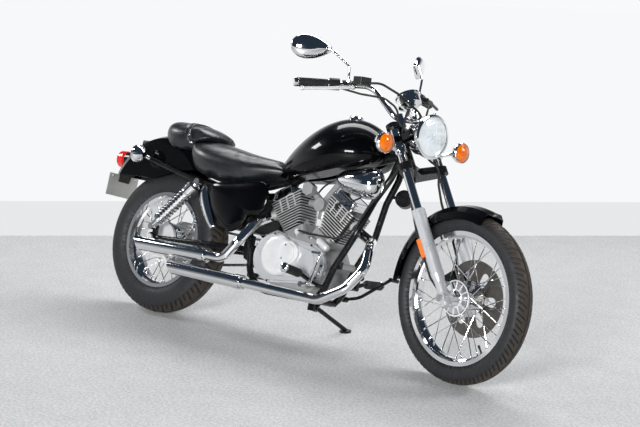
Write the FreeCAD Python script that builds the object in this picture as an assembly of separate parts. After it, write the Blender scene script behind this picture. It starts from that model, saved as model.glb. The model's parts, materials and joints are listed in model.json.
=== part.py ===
import FreeCAD
import Part
import os
import math

# Cruiser motorcycle with an air-cooled V-twin, parked on its side stand.
# Every shape is drawn in the bike frame: upright, steering straight, X forward from
# the rear axle, Y to the rider's left, Z up from the road, millimetres.
# settle() then turns the steering, leans the whole bike onto the stand and centres it.

# Stance
WHEELBASE = 1488.0
TRAIL = 118.0
RAKE = 32.0
LEAN = 18.0
STEER_REST = -13.4

# Wheels and tyres
REAR_TYRE_RADIUS = 306.0
REAR_TYRE_WIDTH = 130.0
REAR_CROWN_RADIUS = 78.0
REAR_RIM_RADIUS = 204.0
REAR_RIM_WIDTH = 100.0
FRONT_TYRE_RADIUS = 309.0
FRONT_TYRE_WIDTH = 84.0
FRONT_CROWN_RADIUS = 46.0
FRONT_RIM_RADIUS = 242.0
FRONT_RIM_WIDTH = 58.0
RIM_FLANGE_HEIGHT = 12.0
RIM_WALL = 3.5
TYRE_WALL = 9.0
SPOKE_RADIUS = 1.9
SPOKE_COUNT = 36
AXLE_RADIUS = 8.0
HUB_FIT = 0.05
FRONT_HUB_RADIUS = 32.0
FRONT_FLANGE_RADIUS = 66.0
FRONT_HUB_HALF = 44.0
REAR_DRUM_RADIUS = 82.0
REAR_HUB_RADIUS = 42.0
REAR_FLANGE_RADIUS = 58.0
REAR_HUB_RIGHT = 46.0
DISC_RADIUS = 141.0
DISC_THICKNESS = 5.0
DISC_Y = 56.0
DISC_BORE = 38.0
CALIPER_INNER = 12.0

# Final drive
CHAIN_PITCH = 12.7
REAR_TEETH = 45
FRONT_TEETH = 16
CHAIN_Y = 80.0
CHAIN_WIDTH = 14.0
CHAIN_HEIGHT = 12.0
ROLLER_RADIUS = 4.25
SPROCKET_THICKNESS = 6.0
SPROCKET_CLEARANCE = 0.5
GEARBOX_X = 648.0
GEARBOX_Z = 345.0

# Fork and steering head
FORK_HALF_SPACING = 94.0
FORK_TUBE_RADIUS = 16.5
SLIDER_RADIUS = 23.5
SLIDER_LENGTH = 345.0
SLIDER_BELOW_AXLE = 32.0
SLIDER_BOSS_REACH = 20.0
LOWER_CLAMP_S = 832.0
LOWER_CLAMP_HEIGHT = 28.0
UPPER_CLAMP_S = 1008.0
UPPER_CLAMP_HEIGHT = 18.0
CLAMP_BOSS_RADIUS = 27.0
CLAMP_NECK_RADIUS = 34.0
STEM_RADIUS = 14.0
HEAD_RADIUS = 27.0
HEAD_FIT = 0.05
HEAD_GAP = 0.3

# Frame tubes
MAIN_TUBE_RADIUS = 17.0
CRADLE_TUBE_RADIUS = 13.0
RAIL_TUBE_RADIUS = 11.0
CRADLE_HALF_WIDTH = 104.0
PLATE_THICKNESS = 6.0
PIVOT_X = 544.0
PIVOT_Z = 333.0
SWINGARM_HALF = 104.0
SWINGARM_TUBE_RADIUS = 13.0
SHOCK_Y = 132.0
SHOCK_TOP = (214.0, 566.0)
SHOCK_FOOT = (10.0, 352.0)
COIL_RADIUS = 27.0
COIL_TURNS = 11

# Engine
CRANK_X = 769.0
CRANK_Z = 322.0
CYLINDER_ANGLE = 30.0
DECK_HEIGHT = 148.0
FIN_COUNT = 13
FIN_PITCH = 10.4
FIN_THICKNESS = 3.4
FIN_INNER_BASE = 30.0
FIN_PORT_BASE = (50.0, 78.0)
FIN_TOP_HALF = 80.0
FIN_DEPTH_HALF = 62.0
FIN_CORNER = 12.0
FIN_PORT_CORNER = (14.0, 29.0)
COVER_OFFSET = -16.0
BARREL_RADIUS = 36.0
HEAD_COVER_HEIGHT = 40.0
PORT_REACH = 12.0
PORT_Y = -26.0
PORT_HEIGHT = 100.0
PORT_RADIUS = 22.0
CASE_HALF = 84.0
CLUTCH_COVER_Y = 140.0
AIR_INNER_Y = -56.0
AIR_FLANGE = 4.0
EGG_REAR_X = 862.0
EGG_FRONT_X = 1078.0
EGG_Z = 667.0
EGG_RADIUS = 56.0
EGG_REAR_RADIUS = 28.0
CLUTCH_X = 663.0
CLUTCH_Z = 321.0
CLUTCH_COVER_RADIUS = 96.0
CLUTCH_CAP_RADIUS = 38.0
FOOTREST_X = 864.0
LEFT_FOOTREST_X = 930.0
FOOTREST_INNER = 165.0
FOOTREST_OUTER = 272.0

# Exhaust
EXHAUST_Y = 176.0
HEADER_RADIUS = 19.0
UPPER_MUFFLER_RADIUS = 28.5
LOWER_MUFFLER_RADIUS = 27.0
MUFFLER_WALL = 2.5
TIP_DEPTH = 60.0

# Tank, seats and rear fender
TANK_HALF_WIDTH = 138.0
SECTION_BULGE = 1.14
TUNNEL_GAP = 4.0
FENDER_X = -60.0
FENDER_Z = 460.0
FENDER_RADIUS = 290.0
FENDER_HALF_WIDTH = 90.0
FENDER_WALL = 3.0
SEAT_GAP = 0.3
RIDER_SEAT_HALF = 130.0
PILLION_HALF = 108.0
FRONT_FENDER_RADIUS = 336.0
FRONT_FENDER_HALF = 62.0

# Lamps
HEADLAMP_X = 1240.0
HEADLAMP_Z = 876.0
HEADLAMP_RADIUS = 82.0
LENS_RADIUS = 74.0
SIGNAL_RADIUS = 38.0
LAMP_FRONT_X = 342.0
LAMP_Z = 624.0
PLATE_X = 350.0
PLATE_HALF_WIDTH = 89.0

MIRROR_HALF = 82.0
MIRROR_HEIGHT = 92.0
MIRROR_TURN = -55.0
MIRROR_RINGS = [(0.0, 0.97), (-6.0, 1.0), (-14.0, 0.94), (-22.0, 0.74), (-28.0, 0.4)]
HANDLEBAR_RADIUS = 11.0
GRIP_RADIUS = 17.0
GRIP_LENGTH = 124.0
PERCH_INNER = 198.0
PERCH_RADIUS = 18.0


def vec(x, y, z):
    return FreeCAD.Vector(x, y, z)


X_AXIS = vec(1, 0, 0)
Y_AXIS = vec(0, 1, 0)
Z_AXIS = vec(0, 0, 1)
MIRROR_CENTRE = vec(845, 300, 1165)
STEER_GROUND = vec(WHEELBASE + TRAIL, 0, 0)
RAKE_RAD = math.radians(RAKE)
STEER_AXIS = vec(-math.sin(RAKE_RAD), 0, math.cos(RAKE_RAD))
STEER_FORWARD = vec(math.cos(RAKE_RAD), 0, math.sin(RAKE_RAD))
REAR_AXLE = vec(0, 0, REAR_TYRE_RADIUS)
FRONT_AXLE = vec(WHEELBASE, 0, FRONT_TYRE_RADIUS)
FORK_AXLE_S = (FRONT_AXLE - STEER_GROUND).dot(STEER_AXIS)
FORK_A = (FRONT_AXLE - STEER_GROUND).dot(STEER_FORWARD)


def cylinder(start, end, radius):
    axis = end - start
    return Part.makeCylinder(radius, axis.Length, start, axis)


def cone(start, end, start_radius, end_radius):
    axis = end - start
    return Part.makeCone(start_radius, end_radius, axis.Length, start, axis)


def across(x, z, y0, y1, radius):
    return cylinder(vec(x, y0, z), vec(x, y1, z), radius)


def box(x0, x1, y0, y1, z0, z1):
    return Part.makeBox(x1 - x0, y1 - y0, z1 - z0, vec(x0, y0, z0))


def mirrored(shape):
    return shape.mirror(vec(0, 0, 0), Y_AXIS)


def both_sides(shape):
    return Part.makeCompound([shape, mirrored(shape)])


def fuse(shapes):
    body = shapes[0].fuse(shapes[1:]) if len(shapes) > 1 else shapes[0]
    return body.removeSplitter()


def moved(shape, x, y, z):
    copy = shape.copy()
    copy.translate(vec(x, y, z))
    return copy


def turned(shape, base, axis, degrees):
    copy = shape.copy()
    copy.rotate(base, axis, degrees)
    return copy


def ring(profile, centre):
    """A closed profile of (y, radius) points turned about the Y axis through centre."""
    points = [centre + vec(radius, y, 0) for y, radius in profile]
    face = Part.Face(Part.makePolygon(points + points[:1]))
    return face.revolve(centre, Y_AXIS, 360)


def wire_face(edges):
    return Part.Face(Part.Wire(Part.__sortEdges__(edges)))


def side_outline(points, y0, y1):
    """A closed outline of (x, z) points, extruded from y0 to y1."""
    corners = [vec(x, y0, z) for x, z in points]
    face = Part.Face(Part.makePolygon(corners + corners[:1]))
    return face.extrude(vec(0, y1 - y0, 0))


def hull_outline(circles, y0, y1):
    """The smooth outline round two circles (x, z, radius), extruded from y0 to y1."""
    (xa, za, ra), (xb, zb, rb) = circles
    gap = math.hypot(xb - xa, zb - za)
    heading = math.atan2(zb - za, xb - xa)
    lift = math.acos((ra - rb) / gap)
    points = []
    for x, z, radius in circles:
        for side in (1, -1):
            angle = heading + side * lift
            points.append((x + radius * math.cos(angle), z + radius * math.sin(angle)))
    quad = side_outline([points[0], points[2], points[3], points[1]], y0, y1)
    return fuse([quad, across(xa, za, y0, y1, ra), across(xb, zb, y0, y1, rb)])


def tube_path(points, bend):
    """Straight runs through the points, joined by tangent arcs of the given radius."""
    edges = []
    start = points[0]
    for before, corner, after in zip(points, points[1:], points[2:]):
        into = (corner - before).normalize()
        out = (after - corner).normalize()
        turn = math.acos(max(-1.0, min(1.0, into.dot(out))))
        room = 0.45 * min((corner - before).Length, (after - corner).Length)
        trim = min(bend * math.tan(turn / 2), room)
        radius = trim / math.tan(turn / 2)
        first = corner - into * trim
        last = corner + out * trim
        to_centre = (out - into).normalize()
        centre = corner + to_centre * (radius / math.cos(turn / 2))
        middle = centre - to_centre * radius
        if (first - start).Length > 1e-6:
            edges.append(Part.LineSegment(start, first).toShape())
        edges.append(Part.Arc(first, middle, last).toShape())
        start = last
    edges.append(Part.LineSegment(start, points[-1]).toShape())
    return Part.Wire(edges)


def tube(points, radius, bend):
    points = [vec(*p) if isinstance(p, tuple) else p for p in points]
    if len(points) == 2:
        return cylinder(points[0], points[1], radius)
    path = tube_path(points, bend)
    circle = Part.Wire(Part.makeCircle(radius, points[0], points[1] - points[0]))
    return path.makePipeShell([circle], True, True)


def loft(sections):
    return Part.makeLoft(sections, True, False)


def tilt(shape):
    """From the steering frame (ahead of the axis, left, up the axis) to the bike frame."""
    copy = shape.copy()
    copy.rotate(vec(0, 0, 0), Y_AXIS, -RAKE)
    copy.translate(STEER_GROUND)
    return copy


# Wheels

def rim_profile(radius, width):
    """The drop-centre section of a spoked rim, as (y, radius) points."""
    half = width / 2
    seat = radius - RIM_FLANGE_HEIGHT
    well = seat - 9
    return [(-half, radius), (-half + RIM_WALL, radius), (-half + RIM_WALL, seat),
            (-half * 0.42, seat - 2), (-half * 0.3, well), (half * 0.3, well),
            (half * 0.42, seat - 2), (half - RIM_WALL, seat), (half - RIM_WALL, radius),
            (half, radius), (half, seat - RIM_WALL), (half * 0.5, seat - 2 - RIM_WALL),
            (half * 0.36, well - RIM_WALL), (-half * 0.36, well - RIM_WALL),
            (-half * 0.5, seat - 2 - RIM_WALL), (-half, seat - RIM_WALL)]


def tyre(centre, radius, width, crown, rim_radius, rim_width):
    """A horseshoe section: crown arc, bulged sidewalls and both beads, all arcs."""
    half = width / 2
    foot = rim_width / 2 - RIM_WALL
    seat = rim_radius - RIM_FLANGE_HEIGHT
    edge_y = half * 0.84
    edge_r = radius - crown + math.sqrt(crown ** 2 - edge_y ** 2)
    belly_r = rim_radius + 0.42 * (radius - rim_radius)
    lip_r = rim_radius + 2

    def point(y, r):
        return centre + vec(r, y, 0)

    def arc(a, b, c):
        return Part.Arc(point(*a), point(*b), point(*c)).toShape()

    def line(a, b):
        return Part.makeLine(point(*a), point(*b))

    inner_crown = crown - TYRE_WALL
    inner_y = edge_y * inner_crown / crown
    inner_r = radius - crown + math.sqrt(inner_crown ** 2 - inner_y ** 2)
    bead = foot - TYRE_WALL
    edges = [arc((-edge_y, edge_r), (0, radius), (edge_y, edge_r)),
             arc((-inner_y, inner_r), (0, radius - TYRE_WALL), (inner_y, inner_r))]
    for side in (1, -1):
        edges += [arc((side * edge_y, edge_r), (side * half, belly_r), (side * foot, lip_r)),
                  line((side * foot, lip_r), (side * foot, seat)),
                  line((side * foot, seat), (side * bead, seat)),
                  arc((side * bead, seat), (side * (half - TYRE_WALL), belly_r),
                      (side * inner_y, inner_r))]
    return wire_face(edges).revolve(centre, Y_AXIS, 360)


def spokes(centre, rim_inner, flanges, count):
    """Crossed spokes from both hub flanges to the rim, each a slim six-sided bar."""
    bars = []
    per_side = count // 2
    for index in range(count):
        flange_y, flange_radius = flanges[index % 2]
        step = 360.0 / per_side
        pair = index // 2
        rim_angle = pair * step + (step / 2 if index % 2 else 0)
        cross = 34.0 if pair % 2 else -34.0
        hub_angle = math.radians(rim_angle + cross)
        rim_angle = math.radians(rim_angle)
        start = centre + vec((flange_radius - 4) * math.cos(hub_angle), flange_y,
                             (flange_radius - 4) * math.sin(hub_angle))
        end = centre + vec((rim_inner + 2) * math.cos(rim_angle), flange_y * 0.12,
                           (rim_inner + 2) * math.sin(rim_angle))
        heading = end - start
        turn = FreeCAD.Rotation(Z_AXIS, heading)
        corners = []
        for corner in range(6):
            angle = math.radians(60 * corner)
            offset = vec(SPOKE_RADIUS * math.cos(angle), SPOKE_RADIUS * math.sin(angle), 0)
            corners.append(start + turn.multVec(offset))
        face = Part.Face(Part.makePolygon(corners + corners[:1]))
        bars.append(face.extrude(heading))
    return bars


def front_wheel():
    centre = FRONT_AXLE
    rim = ring(rim_profile(FRONT_RIM_RADIUS, FRONT_RIM_WIDTH), centre)
    flange_y = FRONT_HUB_HALF - 8
    hub = ring([(-FRONT_HUB_HALF, AXLE_RADIUS + HUB_FIT), (-FRONT_HUB_HALF, 26),
                (-FRONT_HUB_HALF + 3, FRONT_HUB_RADIUS), (-flange_y - 3, FRONT_FLANGE_RADIUS),
                (-flange_y + 3, FRONT_FLANGE_RADIUS), (-flange_y + 14, FRONT_HUB_RADIUS),
                (flange_y - 14, FRONT_HUB_RADIUS), (flange_y - 3, FRONT_FLANGE_RADIUS),
                (flange_y + 3, FRONT_FLANGE_RADIUS), (FRONT_HUB_HALF, DISC_BORE + 12),
                (DISC_Y - DISC_THICKNESS / 2, DISC_BORE + 12),
                (DISC_Y - DISC_THICKNESS / 2, DISC_BORE),
                (DISC_Y + DISC_THICKNESS / 2, DISC_BORE),
                (DISC_Y + DISC_THICKNESS / 2 + 2, DISC_BORE - 6),
                (DISC_Y + DISC_THICKNESS / 2 + 2, AXLE_RADIUS + HUB_FIT)], centre)
    rim_inner = FRONT_RIM_RADIUS - RIM_FLANGE_HEIGHT - 9 - RIM_WALL
    bars = spokes(centre, rim_inner, [(-flange_y, FRONT_FLANGE_RADIUS),
                                      (flange_y, FRONT_FLANGE_RADIUS)], SPOKE_COUNT)
    return fuse([rim, hub] + bars)


def rear_wheel():
    centre = REAR_AXLE
    rim = ring(rim_profile(REAR_RIM_RADIUS, REAR_RIM_WIDTH), centre)
    hub = ring([(-REAR_HUB_RIGHT, AXLE_RADIUS + HUB_FIT), (-REAR_HUB_RIGHT, REAR_DRUM_RADIUS - 4),
                (-REAR_HUB_RIGHT + 4, REAR_DRUM_RADIUS), (-12, REAR_DRUM_RADIUS),
                (-8, REAR_DRUM_RADIUS - 6), (0, REAR_HUB_RADIUS), (34, REAR_HUB_RADIUS),
                (40, REAR_FLANGE_RADIUS), (46, REAR_FLANGE_RADIUS), (48, 50),
                (CHAIN_Y - SPROCKET_THICKNESS / 2, 50),
                (CHAIN_Y - SPROCKET_THICKNESS / 2, 30),
                (CHAIN_Y + SPROCKET_THICKNESS / 2, 30),
                (CHAIN_Y + SPROCKET_THICKNESS / 2, AXLE_RADIUS + HUB_FIT)], centre)
    rim_inner = REAR_RIM_RADIUS - RIM_FLANGE_HEIGHT - 9 - RIM_WALL
    bars = spokes(centre, rim_inner, [(-28, REAR_DRUM_RADIUS), (43, REAR_FLANGE_RADIUS)],
                  SPOKE_COUNT)
    return fuse([rim, hub] + bars)


def brake_disc():
    """A drilled disc with a spider of six arms, on the left face of the front hub."""
    y0 = DISC_Y - DISC_THICKNESS / 2
    y1 = DISC_Y + DISC_THICKNESS / 2
    x, z = FRONT_AXLE.x, FRONT_AXLE.z
    disc = across(x, z, y0, y1, DISC_RADIUS).cut(across(x, z, y0, y1, DISC_BORE))
    windows = []
    for index in range(6):
        window = hull_outline([(x + 68, z, 15), (x + 92, z, 18)], y0 - 1, y1 + 1)
        windows.append(turned(window, FRONT_AXLE, Y_AXIS, 60 * index))
    return disc.cut(windows)


def sprocket_radius(teeth):
    return CHAIN_PITCH / (2 * math.sin(math.pi / teeth))


def rear_sprocket():
    pitch = sprocket_radius(REAR_TEETH)
    outer = pitch - ROLLER_RADIUS - SPROCKET_CLEARANCE
    root = outer - 3
    points = []
    for tooth in range(REAR_TEETH):
        for share, radius in ((0.0, root), (0.3, root), (0.5, outer), (0.8, outer)):
            angle = 2 * math.pi * (tooth + share) / REAR_TEETH
            points.append((REAR_AXLE.x + radius * math.cos(angle),
                           REAR_AXLE.z + radius * math.sin(angle)))
    y0 = CHAIN_Y - SPROCKET_THICKNESS / 2
    y1 = CHAIN_Y + SPROCKET_THICKNESS / 2
    disc = side_outline(points, y0, y1).cut(across(REAR_AXLE.x, REAR_AXLE.z, y0, y1, 30))
    windows = [turned(across(REAR_AXLE.x + 58, REAR_AXLE.z, y0, y1, 10), REAR_AXLE,
                      Y_AXIS, 60 * index) for index in range(6)]
    return disc.cut(windows)


def chain():
    """The chain's closed loop round both sprockets, with its links' waisted outline."""
    rear = sprocket_radius(REAR_TEETH)
    front = sprocket_radius(FRONT_TEETH)
    y0 = CHAIN_Y - CHAIN_WIDTH / 2
    y1 = CHAIN_Y + CHAIN_WIDTH / 2
    grow = CHAIN_HEIGHT / 2
    outer = hull_outline([(REAR_AXLE.x, REAR_AXLE.z, rear + grow),
                          (GEARBOX_X, GEARBOX_Z, front + grow)], y0, y1)
    inner = hull_outline([(REAR_AXLE.x, REAR_AXLE.z, rear - ROLLER_RADIUS),
                          (GEARBOX_X, GEARBOX_Z, front - ROLLER_RADIUS)], y0, y1)
    return outer.cut(inner)


def front_axle():
    half = FORK_HALF_SPACING + SLIDER_RADIUS
    rod = across(FRONT_AXLE.x, FRONT_AXLE.z, -half, half, AXLE_RADIUS)
    head = across(FRONT_AXLE.x, FRONT_AXLE.z, -half - 8, -half, 13)
    nut = across(FRONT_AXLE.x, FRONT_AXLE.z, half, half + 9, 12)
    inner = FORK_HALF_SPACING - SLIDER_BOSS_REACH
    right = across(FRONT_AXLE.x, FRONT_AXLE.z, -inner, -FRONT_HUB_HALF - HEAD_GAP, 13)
    left = across(FRONT_AXLE.x, FRONT_AXLE.z, DISC_Y + DISC_THICKNESS / 2 + 2 + HEAD_GAP,
                  inner, 13)
    return fuse([rod, head, nut, right, left])


def rear_axle():
    half = SWINGARM_HALF + SWINGARM_TUBE_RADIUS
    rod = across(REAR_AXLE.x, REAR_AXLE.z, -half - 2, half + 2, AXLE_RADIUS)
    head = across(REAR_AXLE.x, REAR_AXLE.z, -half - 10, -half - 2, 14)
    nut = across(REAR_AXLE.x, REAR_AXLE.z, half + 2, half + 12, 13)
    inner = SWINGARM_HALF - SWINGARM_TUBE_RADIUS
    panel_y = REAR_HUB_RIGHT + HEAD_GAP
    panel = across(REAR_AXLE.x, REAR_AXLE.z, -panel_y - 12, -panel_y, REAR_DRUM_RADIUS - 3)
    right = across(REAR_AXLE.x, REAR_AXLE.z, -inner, -panel_y - 12, 17)
    left = across(REAR_AXLE.x, REAR_AXLE.z, CHAIN_Y + SPROCKET_THICKNESS / 2 + HEAD_GAP,
                  inner, 14)
    lever = hull_outline([(22, REAR_AXLE.z - 48, 9), (70, REAR_AXLE.z - 92, 7)],
                         -panel_y - 18, -panel_y - 12)
    return fuse([rod, head, nut, panel, right, left, lever])


# Frame

BACKBONE_LINE = [(1112.0, 800.0), (960.0, 748.0), (700.0, 690.0), (600.0, 628.0)]
CRADLE_POINTS = [(1099.0, 14.0, 782.0), (1084.0, 26.0, 700.0), (1040.0, 40.0, 606.0),
                 (1003.0, 64.0, 470.0), (934.0, 65.0, 325.0), (908.0, 65.0, 238.0),
                 (876.0, 68.0, 190.0), (640.0, 102.0, 186.0),
                 (560.0, 104.0, 236.0), (545.0, 104.0, 333.0), (505.0, 104.0, 450.0),
                 (470.0, 102.0, 575.0)]
RAIL_Y = FENDER_HALF_WIDTH + SEAT_GAP + RAIL_TUBE_RADIUS
RAIL_POINTS = [(600.0, 24.0, 628.0), (540.0, 78.0, 596.0), (470.0, RAIL_Y, 580.0),
               (330.0, RAIL_Y, 560.0), (214.0, RAIL_Y, 566.0), (60.0, RAIL_Y, 596.0),
               (-120.0, RAIL_Y, 636.0)]


def seat_rail(side, grow):
    return tube([(x, y * side, z) for x, y, z in RAIL_POINTS], RAIL_TUBE_RADIUS + grow, 120)


def cradle_tube(side):
    return tube([(x, y * side, z) for x, y, z in CRADLE_POINTS], CRADLE_TUBE_RADIUS, 90)


def head_tube():
    low = LOWER_CLAMP_S + LOWER_CLAMP_HEIGHT + HEAD_GAP
    high = UPPER_CLAMP_S - HEAD_GAP
    outer = cylinder(vec(0, 0, low), vec(0, 0, high), HEAD_RADIUS)
    cup_low = cylinder(vec(0, 0, low), vec(0, 0, low + 16), HEAD_RADIUS + 4)
    cup_high = cylinder(vec(0, 0, high - 16), vec(0, 0, high), HEAD_RADIUS + 4)
    return tilt(fuse([outer, cup_low, cup_high]))


def head_bore():
    low = LOWER_CLAMP_S
    high = UPPER_CLAMP_S + UPPER_CLAMP_HEIGHT
    return tilt(cylinder(vec(0, 0, low), vec(0, 0, high), STEM_RADIUS + HEAD_FIT))


def frame():
    backbone = tube([(x, 0, z) for x, z in BACKBONE_LINE], MAIN_TUBE_RADIUS, 120)
    cross = tube([(600, -24, 628), (600, 24, 628)], RAIL_TUBE_RADIUS, 1)
    pieces = [head_tube(), backbone, cross]
    for side in (1, -1):
        pieces.append(cradle_tube(side))
        pieces.append(seat_rail(side, 0))
        plate_outer = side * (CRADLE_HALF_WIDTH + PLATE_THICKNESS / 2)
        plate_inner = side * (CRADLE_HALF_WIDTH - PLATE_THICKNESS / 2)
        y0, y1 = min(plate_outer, plate_inner), max(plate_outer, plate_inner)
        pieces.append(side_outline([(516, 296), (554, 282), (557, 330), (554, 388),
                                    (520, 396), (504, 350)], y0, y1))
        lug = side_outline([(926, 322), (956, 326), (956, 354), (938, 352)],
                           min(side * 40, side * 60), max(side * 40, side * 60))
        pieces.append(lug)
    pieces.append(across(876, 190, -68, 68, 11))
    pieces.append(stand_bracket())
    pieces.append(across(560, 236, -104, 104, 11))
    body = fuse(pieces)
    return body.cut(head_bore())


def swingarm():
    inner = CRADLE_HALF_WIDTH - CRADLE_TUBE_RADIUS - HEAD_GAP
    pivot = across(PIVOT_X, PIVOT_Z, -inner, inner, 21)
    pieces = [pivot]
    for side in (1, -1):
        arm = tube([(PIVOT_X, side * 72, PIVOT_Z), (440, side * 84, 330),
                    (330, side * SWINGARM_HALF, 322), (30, side * SWINGARM_HALF, 307)],
                   SWINGARM_TUBE_RADIUS, 120)
        lug = across(0, REAR_AXLE.z, side * (SWINGARM_HALF - SWINGARM_TUBE_RADIUS),
                     side * (SWINGARM_HALF + SWINGARM_TUBE_RADIUS), 22)
        plate = box(-20, 40, side * SWINGARM_HALF - 9, side * SWINGARM_HALF + 9,
                    REAR_AXLE.z - 13, REAR_AXLE.z + 13)
        ear = hull_outline([(8, REAR_AXLE.z + 8, 14), (SHOCK_FOOT[0], SHOCK_FOOT[1], 11)],
                           side * SWINGARM_HALF - 6, side * SWINGARM_HALF + 6)
        stud = across(SHOCK_FOOT[0], SHOCK_FOOT[1], side * SWINGARM_HALF,
                      side * (SHOCK_Y - 11), 9)
        pieces += [arm, lug, plate, ear, stud]
    body = fuse(pieces)
    return body.cut(across(0, REAR_AXLE.z, -140, 140, AXLE_RADIUS))


def shock(side):
    """Damper, spring and covers as one turned profile between the two eyes."""
    top = vec(SHOCK_TOP[0], side * SHOCK_Y, SHOCK_TOP[1])
    foot = vec(SHOCK_FOOT[0], side * SHOCK_Y, SHOCK_FOOT[1])
    along = (top - foot).normalize()
    length = (top - foot).Length
    profile = [(12, 0), (12, 15), (44, 15), (46, COIL_RADIUS), (52, COIL_RADIUS)]
    pitch = (length - 62 - 56) / COIL_TURNS
    for index in range(COIL_TURNS):
        at = 54 + pitch * index
        profile += [(at, COIL_RADIUS - 7), (at + 0.3 * pitch, COIL_RADIUS),
                    (at + 0.6 * pitch, COIL_RADIUS), (at + 0.9 * pitch, COIL_RADIUS - 7)]
    profile += [(length - 62, COIL_RADIUS + 1), (length - 24, COIL_RADIUS + 1),
                (length - 18, 14), (length - 12, 12), (length - 12, 0)]
    radial = along.cross(Y_AXIS).normalize()
    corners = [foot + along * a + radial * r for a, r in profile]
    face = Part.Face(Part.makePolygon(corners + corners[:1]))
    body = face.revolve(foot, along, 360)
    return fuse([body, across(top.x, top.z, top.y - 11, top.y + 11, 14),
                 across(foot.x, foot.z, foot.y - 11, foot.y + 11, 14)])


def shocks():
    return Part.makeCompound([shock(1), shock(-1)])


# Engine

def cylinder_frame(side):
    """Turns a shape drawn up the Z axis from the crank onto one cylinder's axis."""
    def place(shape):
        copy = shape.copy()
        copy.rotate(vec(0, 0, 0), Y_AXIS, side * CYLINDER_ANGLE)
        copy.translate(vec(CRANK_X, 0, CRANK_Z))
        return copy
    return place


def rounded_block(half_x, half_y, z0, z1, corner):
    block = Part.makeBox(2 * half_x, 2 * half_y, z1 - z0, vec(-half_x, -half_y, z0))
    upright = [edge for edge in block.Edges
               if abs(edge.tangentAt(edge.FirstParameter).z) > 0.99]
    return block.makeFillet(corner, upright)


def fin_plate(share, z, side):
    """One cooling fin at this share of the stack's height. Its corners on the exhaust side
    are rounder, most of all on the front cylinder, and the fins flare into the V."""
    rise = share ** 0.8
    port_base = FIN_PORT_BASE[side > 0]
    inner = FIN_INNER_BASE + (FIN_TOP_HALF - FIN_INNER_BASE) * rise
    port = port_base + (FIN_TOP_HALF - port_base) * rise
    x0, x1 = (-inner, port) if side > 0 else (-port, inner)
    plate = Part.makeBox(x1 - x0, 2 * FIN_DEPTH_HALF, FIN_THICKNESS, vec(x0, -FIN_DEPTH_HALF, z))
    for corner_x, radius in ((side * port, FIN_PORT_CORNER[side > 0]), (-side * inner, FIN_CORNER)):
        upright = [edge for edge in plate.Edges
                   if abs(edge.CenterOfMass.x - corner_x) < 0.1
                   and abs(edge.tangentAt(edge.FirstParameter).z) > 0.99]
        plate = plate.makeFillet(radius, upright)
    return plate


def port_end(side):
    """The exhaust port's outer end, in the upright frame of its own cylinder."""
    return vec(side * (FIN_TOP_HALF + PORT_REACH), PORT_Y, DECK_HEIGHT + PORT_HEIGHT)


def port_point(side, distance):
    """A bike-frame point on the port's axis, this far out from its end."""
    place = FreeCAD.Rotation(Y_AXIS, side * CYLINDER_ANGLE)
    local = port_end(side) + vec(side * distance, 0, 0)
    return vec(CRANK_X, 0, CRANK_Z) + place.multVec(local)


def engine_cylinder(side):
    """A finned barrel and head: stacked plates that widen upwards round one core."""
    top = DECK_HEIGHT + FIN_PITCH * FIN_COUNT
    core = cylinder(vec(0, 0, DECK_HEIGHT), vec(0, 0, top), BARREL_RADIUS)
    pieces = [core]
    for index in range(FIN_COUNT):
        share = index / (FIN_COUNT - 1)
        z = DECK_HEIGHT + FIN_PITCH * (index + 1) - FIN_THICKNESS
        pieces.append(fin_plate(share, z, side))
    for at in (-34, 0, 34):
        rib = rounded_block(5, FIN_DEPTH_HALF - 3, top - 5 * FIN_PITCH, top, 3)
        pieces.append(moved(rib, side * at, 0, 0))
    head = rounded_block(BARREL_RADIUS + 14, FIN_DEPTH_HALF - 20, top - 4 * FIN_PITCH, top, 12)
    pieces.append(head)
    port = port_end(side)
    pieces.append(cylinder(vec(0, port.y, port.z), port, PORT_RADIUS))
    return cylinder_frame(side)(fuse(pieces))


def head_cover(side):
    base = DECK_HEIGHT + FIN_PITCH * FIN_COUNT
    low = rounded_block(62, 56, base, base + 12, 16)
    dome = rounded_block(53, 50, base + 12, base + HEAD_COVER_HEIGHT, 14)
    top_edges = [edge for edge in dome.Edges
                 if abs(edge.CenterOfMass.z - base - HEAD_COVER_HEIGHT) < 0.1]
    dome = dome.makeFillet(12, top_edges)
    return cylinder_frame(side)(moved(fuse([low, dome]), COVER_OFFSET, 0, 0))


def engine_cases():
    main = side_outline([(690, 212), (846, 212), (884, 246), (900, 296), (900, 352), (868, 404),
                         (806, 432), (744, 432), (690, 420)], -CASE_HALF, CASE_HALF)
    gearbox = side_outline([(604, 232), (690, 212), (690, 420), (640, 430), (588, 402),
                            (580, 290)], -CASE_HALF, 66)
    pieces = [main, gearbox]
    for side in (1, -1):
        deck = rounded_block(52, 60, 40, DECK_HEIGHT, 20)
        pieces.append(cylinder_frame(side)(deck))
    pieces.append(hull_outline([(606, 256, 14), (577, 240, 10)], -30, 30))
    pieces.append(hull_outline([(900, 330, 20), (944, 340, 14)], -40, 40))
    stub = across(GEARBOX_X, GEARBOX_Z, 60, CHAIN_Y - SPROCKET_THICKNESS / 2, 14)
    pieces.append(stub)
    front = sprocket_radius(FRONT_TEETH) - ROLLER_RADIUS - SPROCKET_CLEARANCE
    pieces.append(across(GEARBOX_X, GEARBOX_Z, CHAIN_Y - SPROCKET_THICKNESS / 2,
                         CHAIN_Y + SPROCKET_THICKNESS / 2, front))
    return fuse(pieces).cut(across(560, 236, -104, 104, 11))


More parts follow.
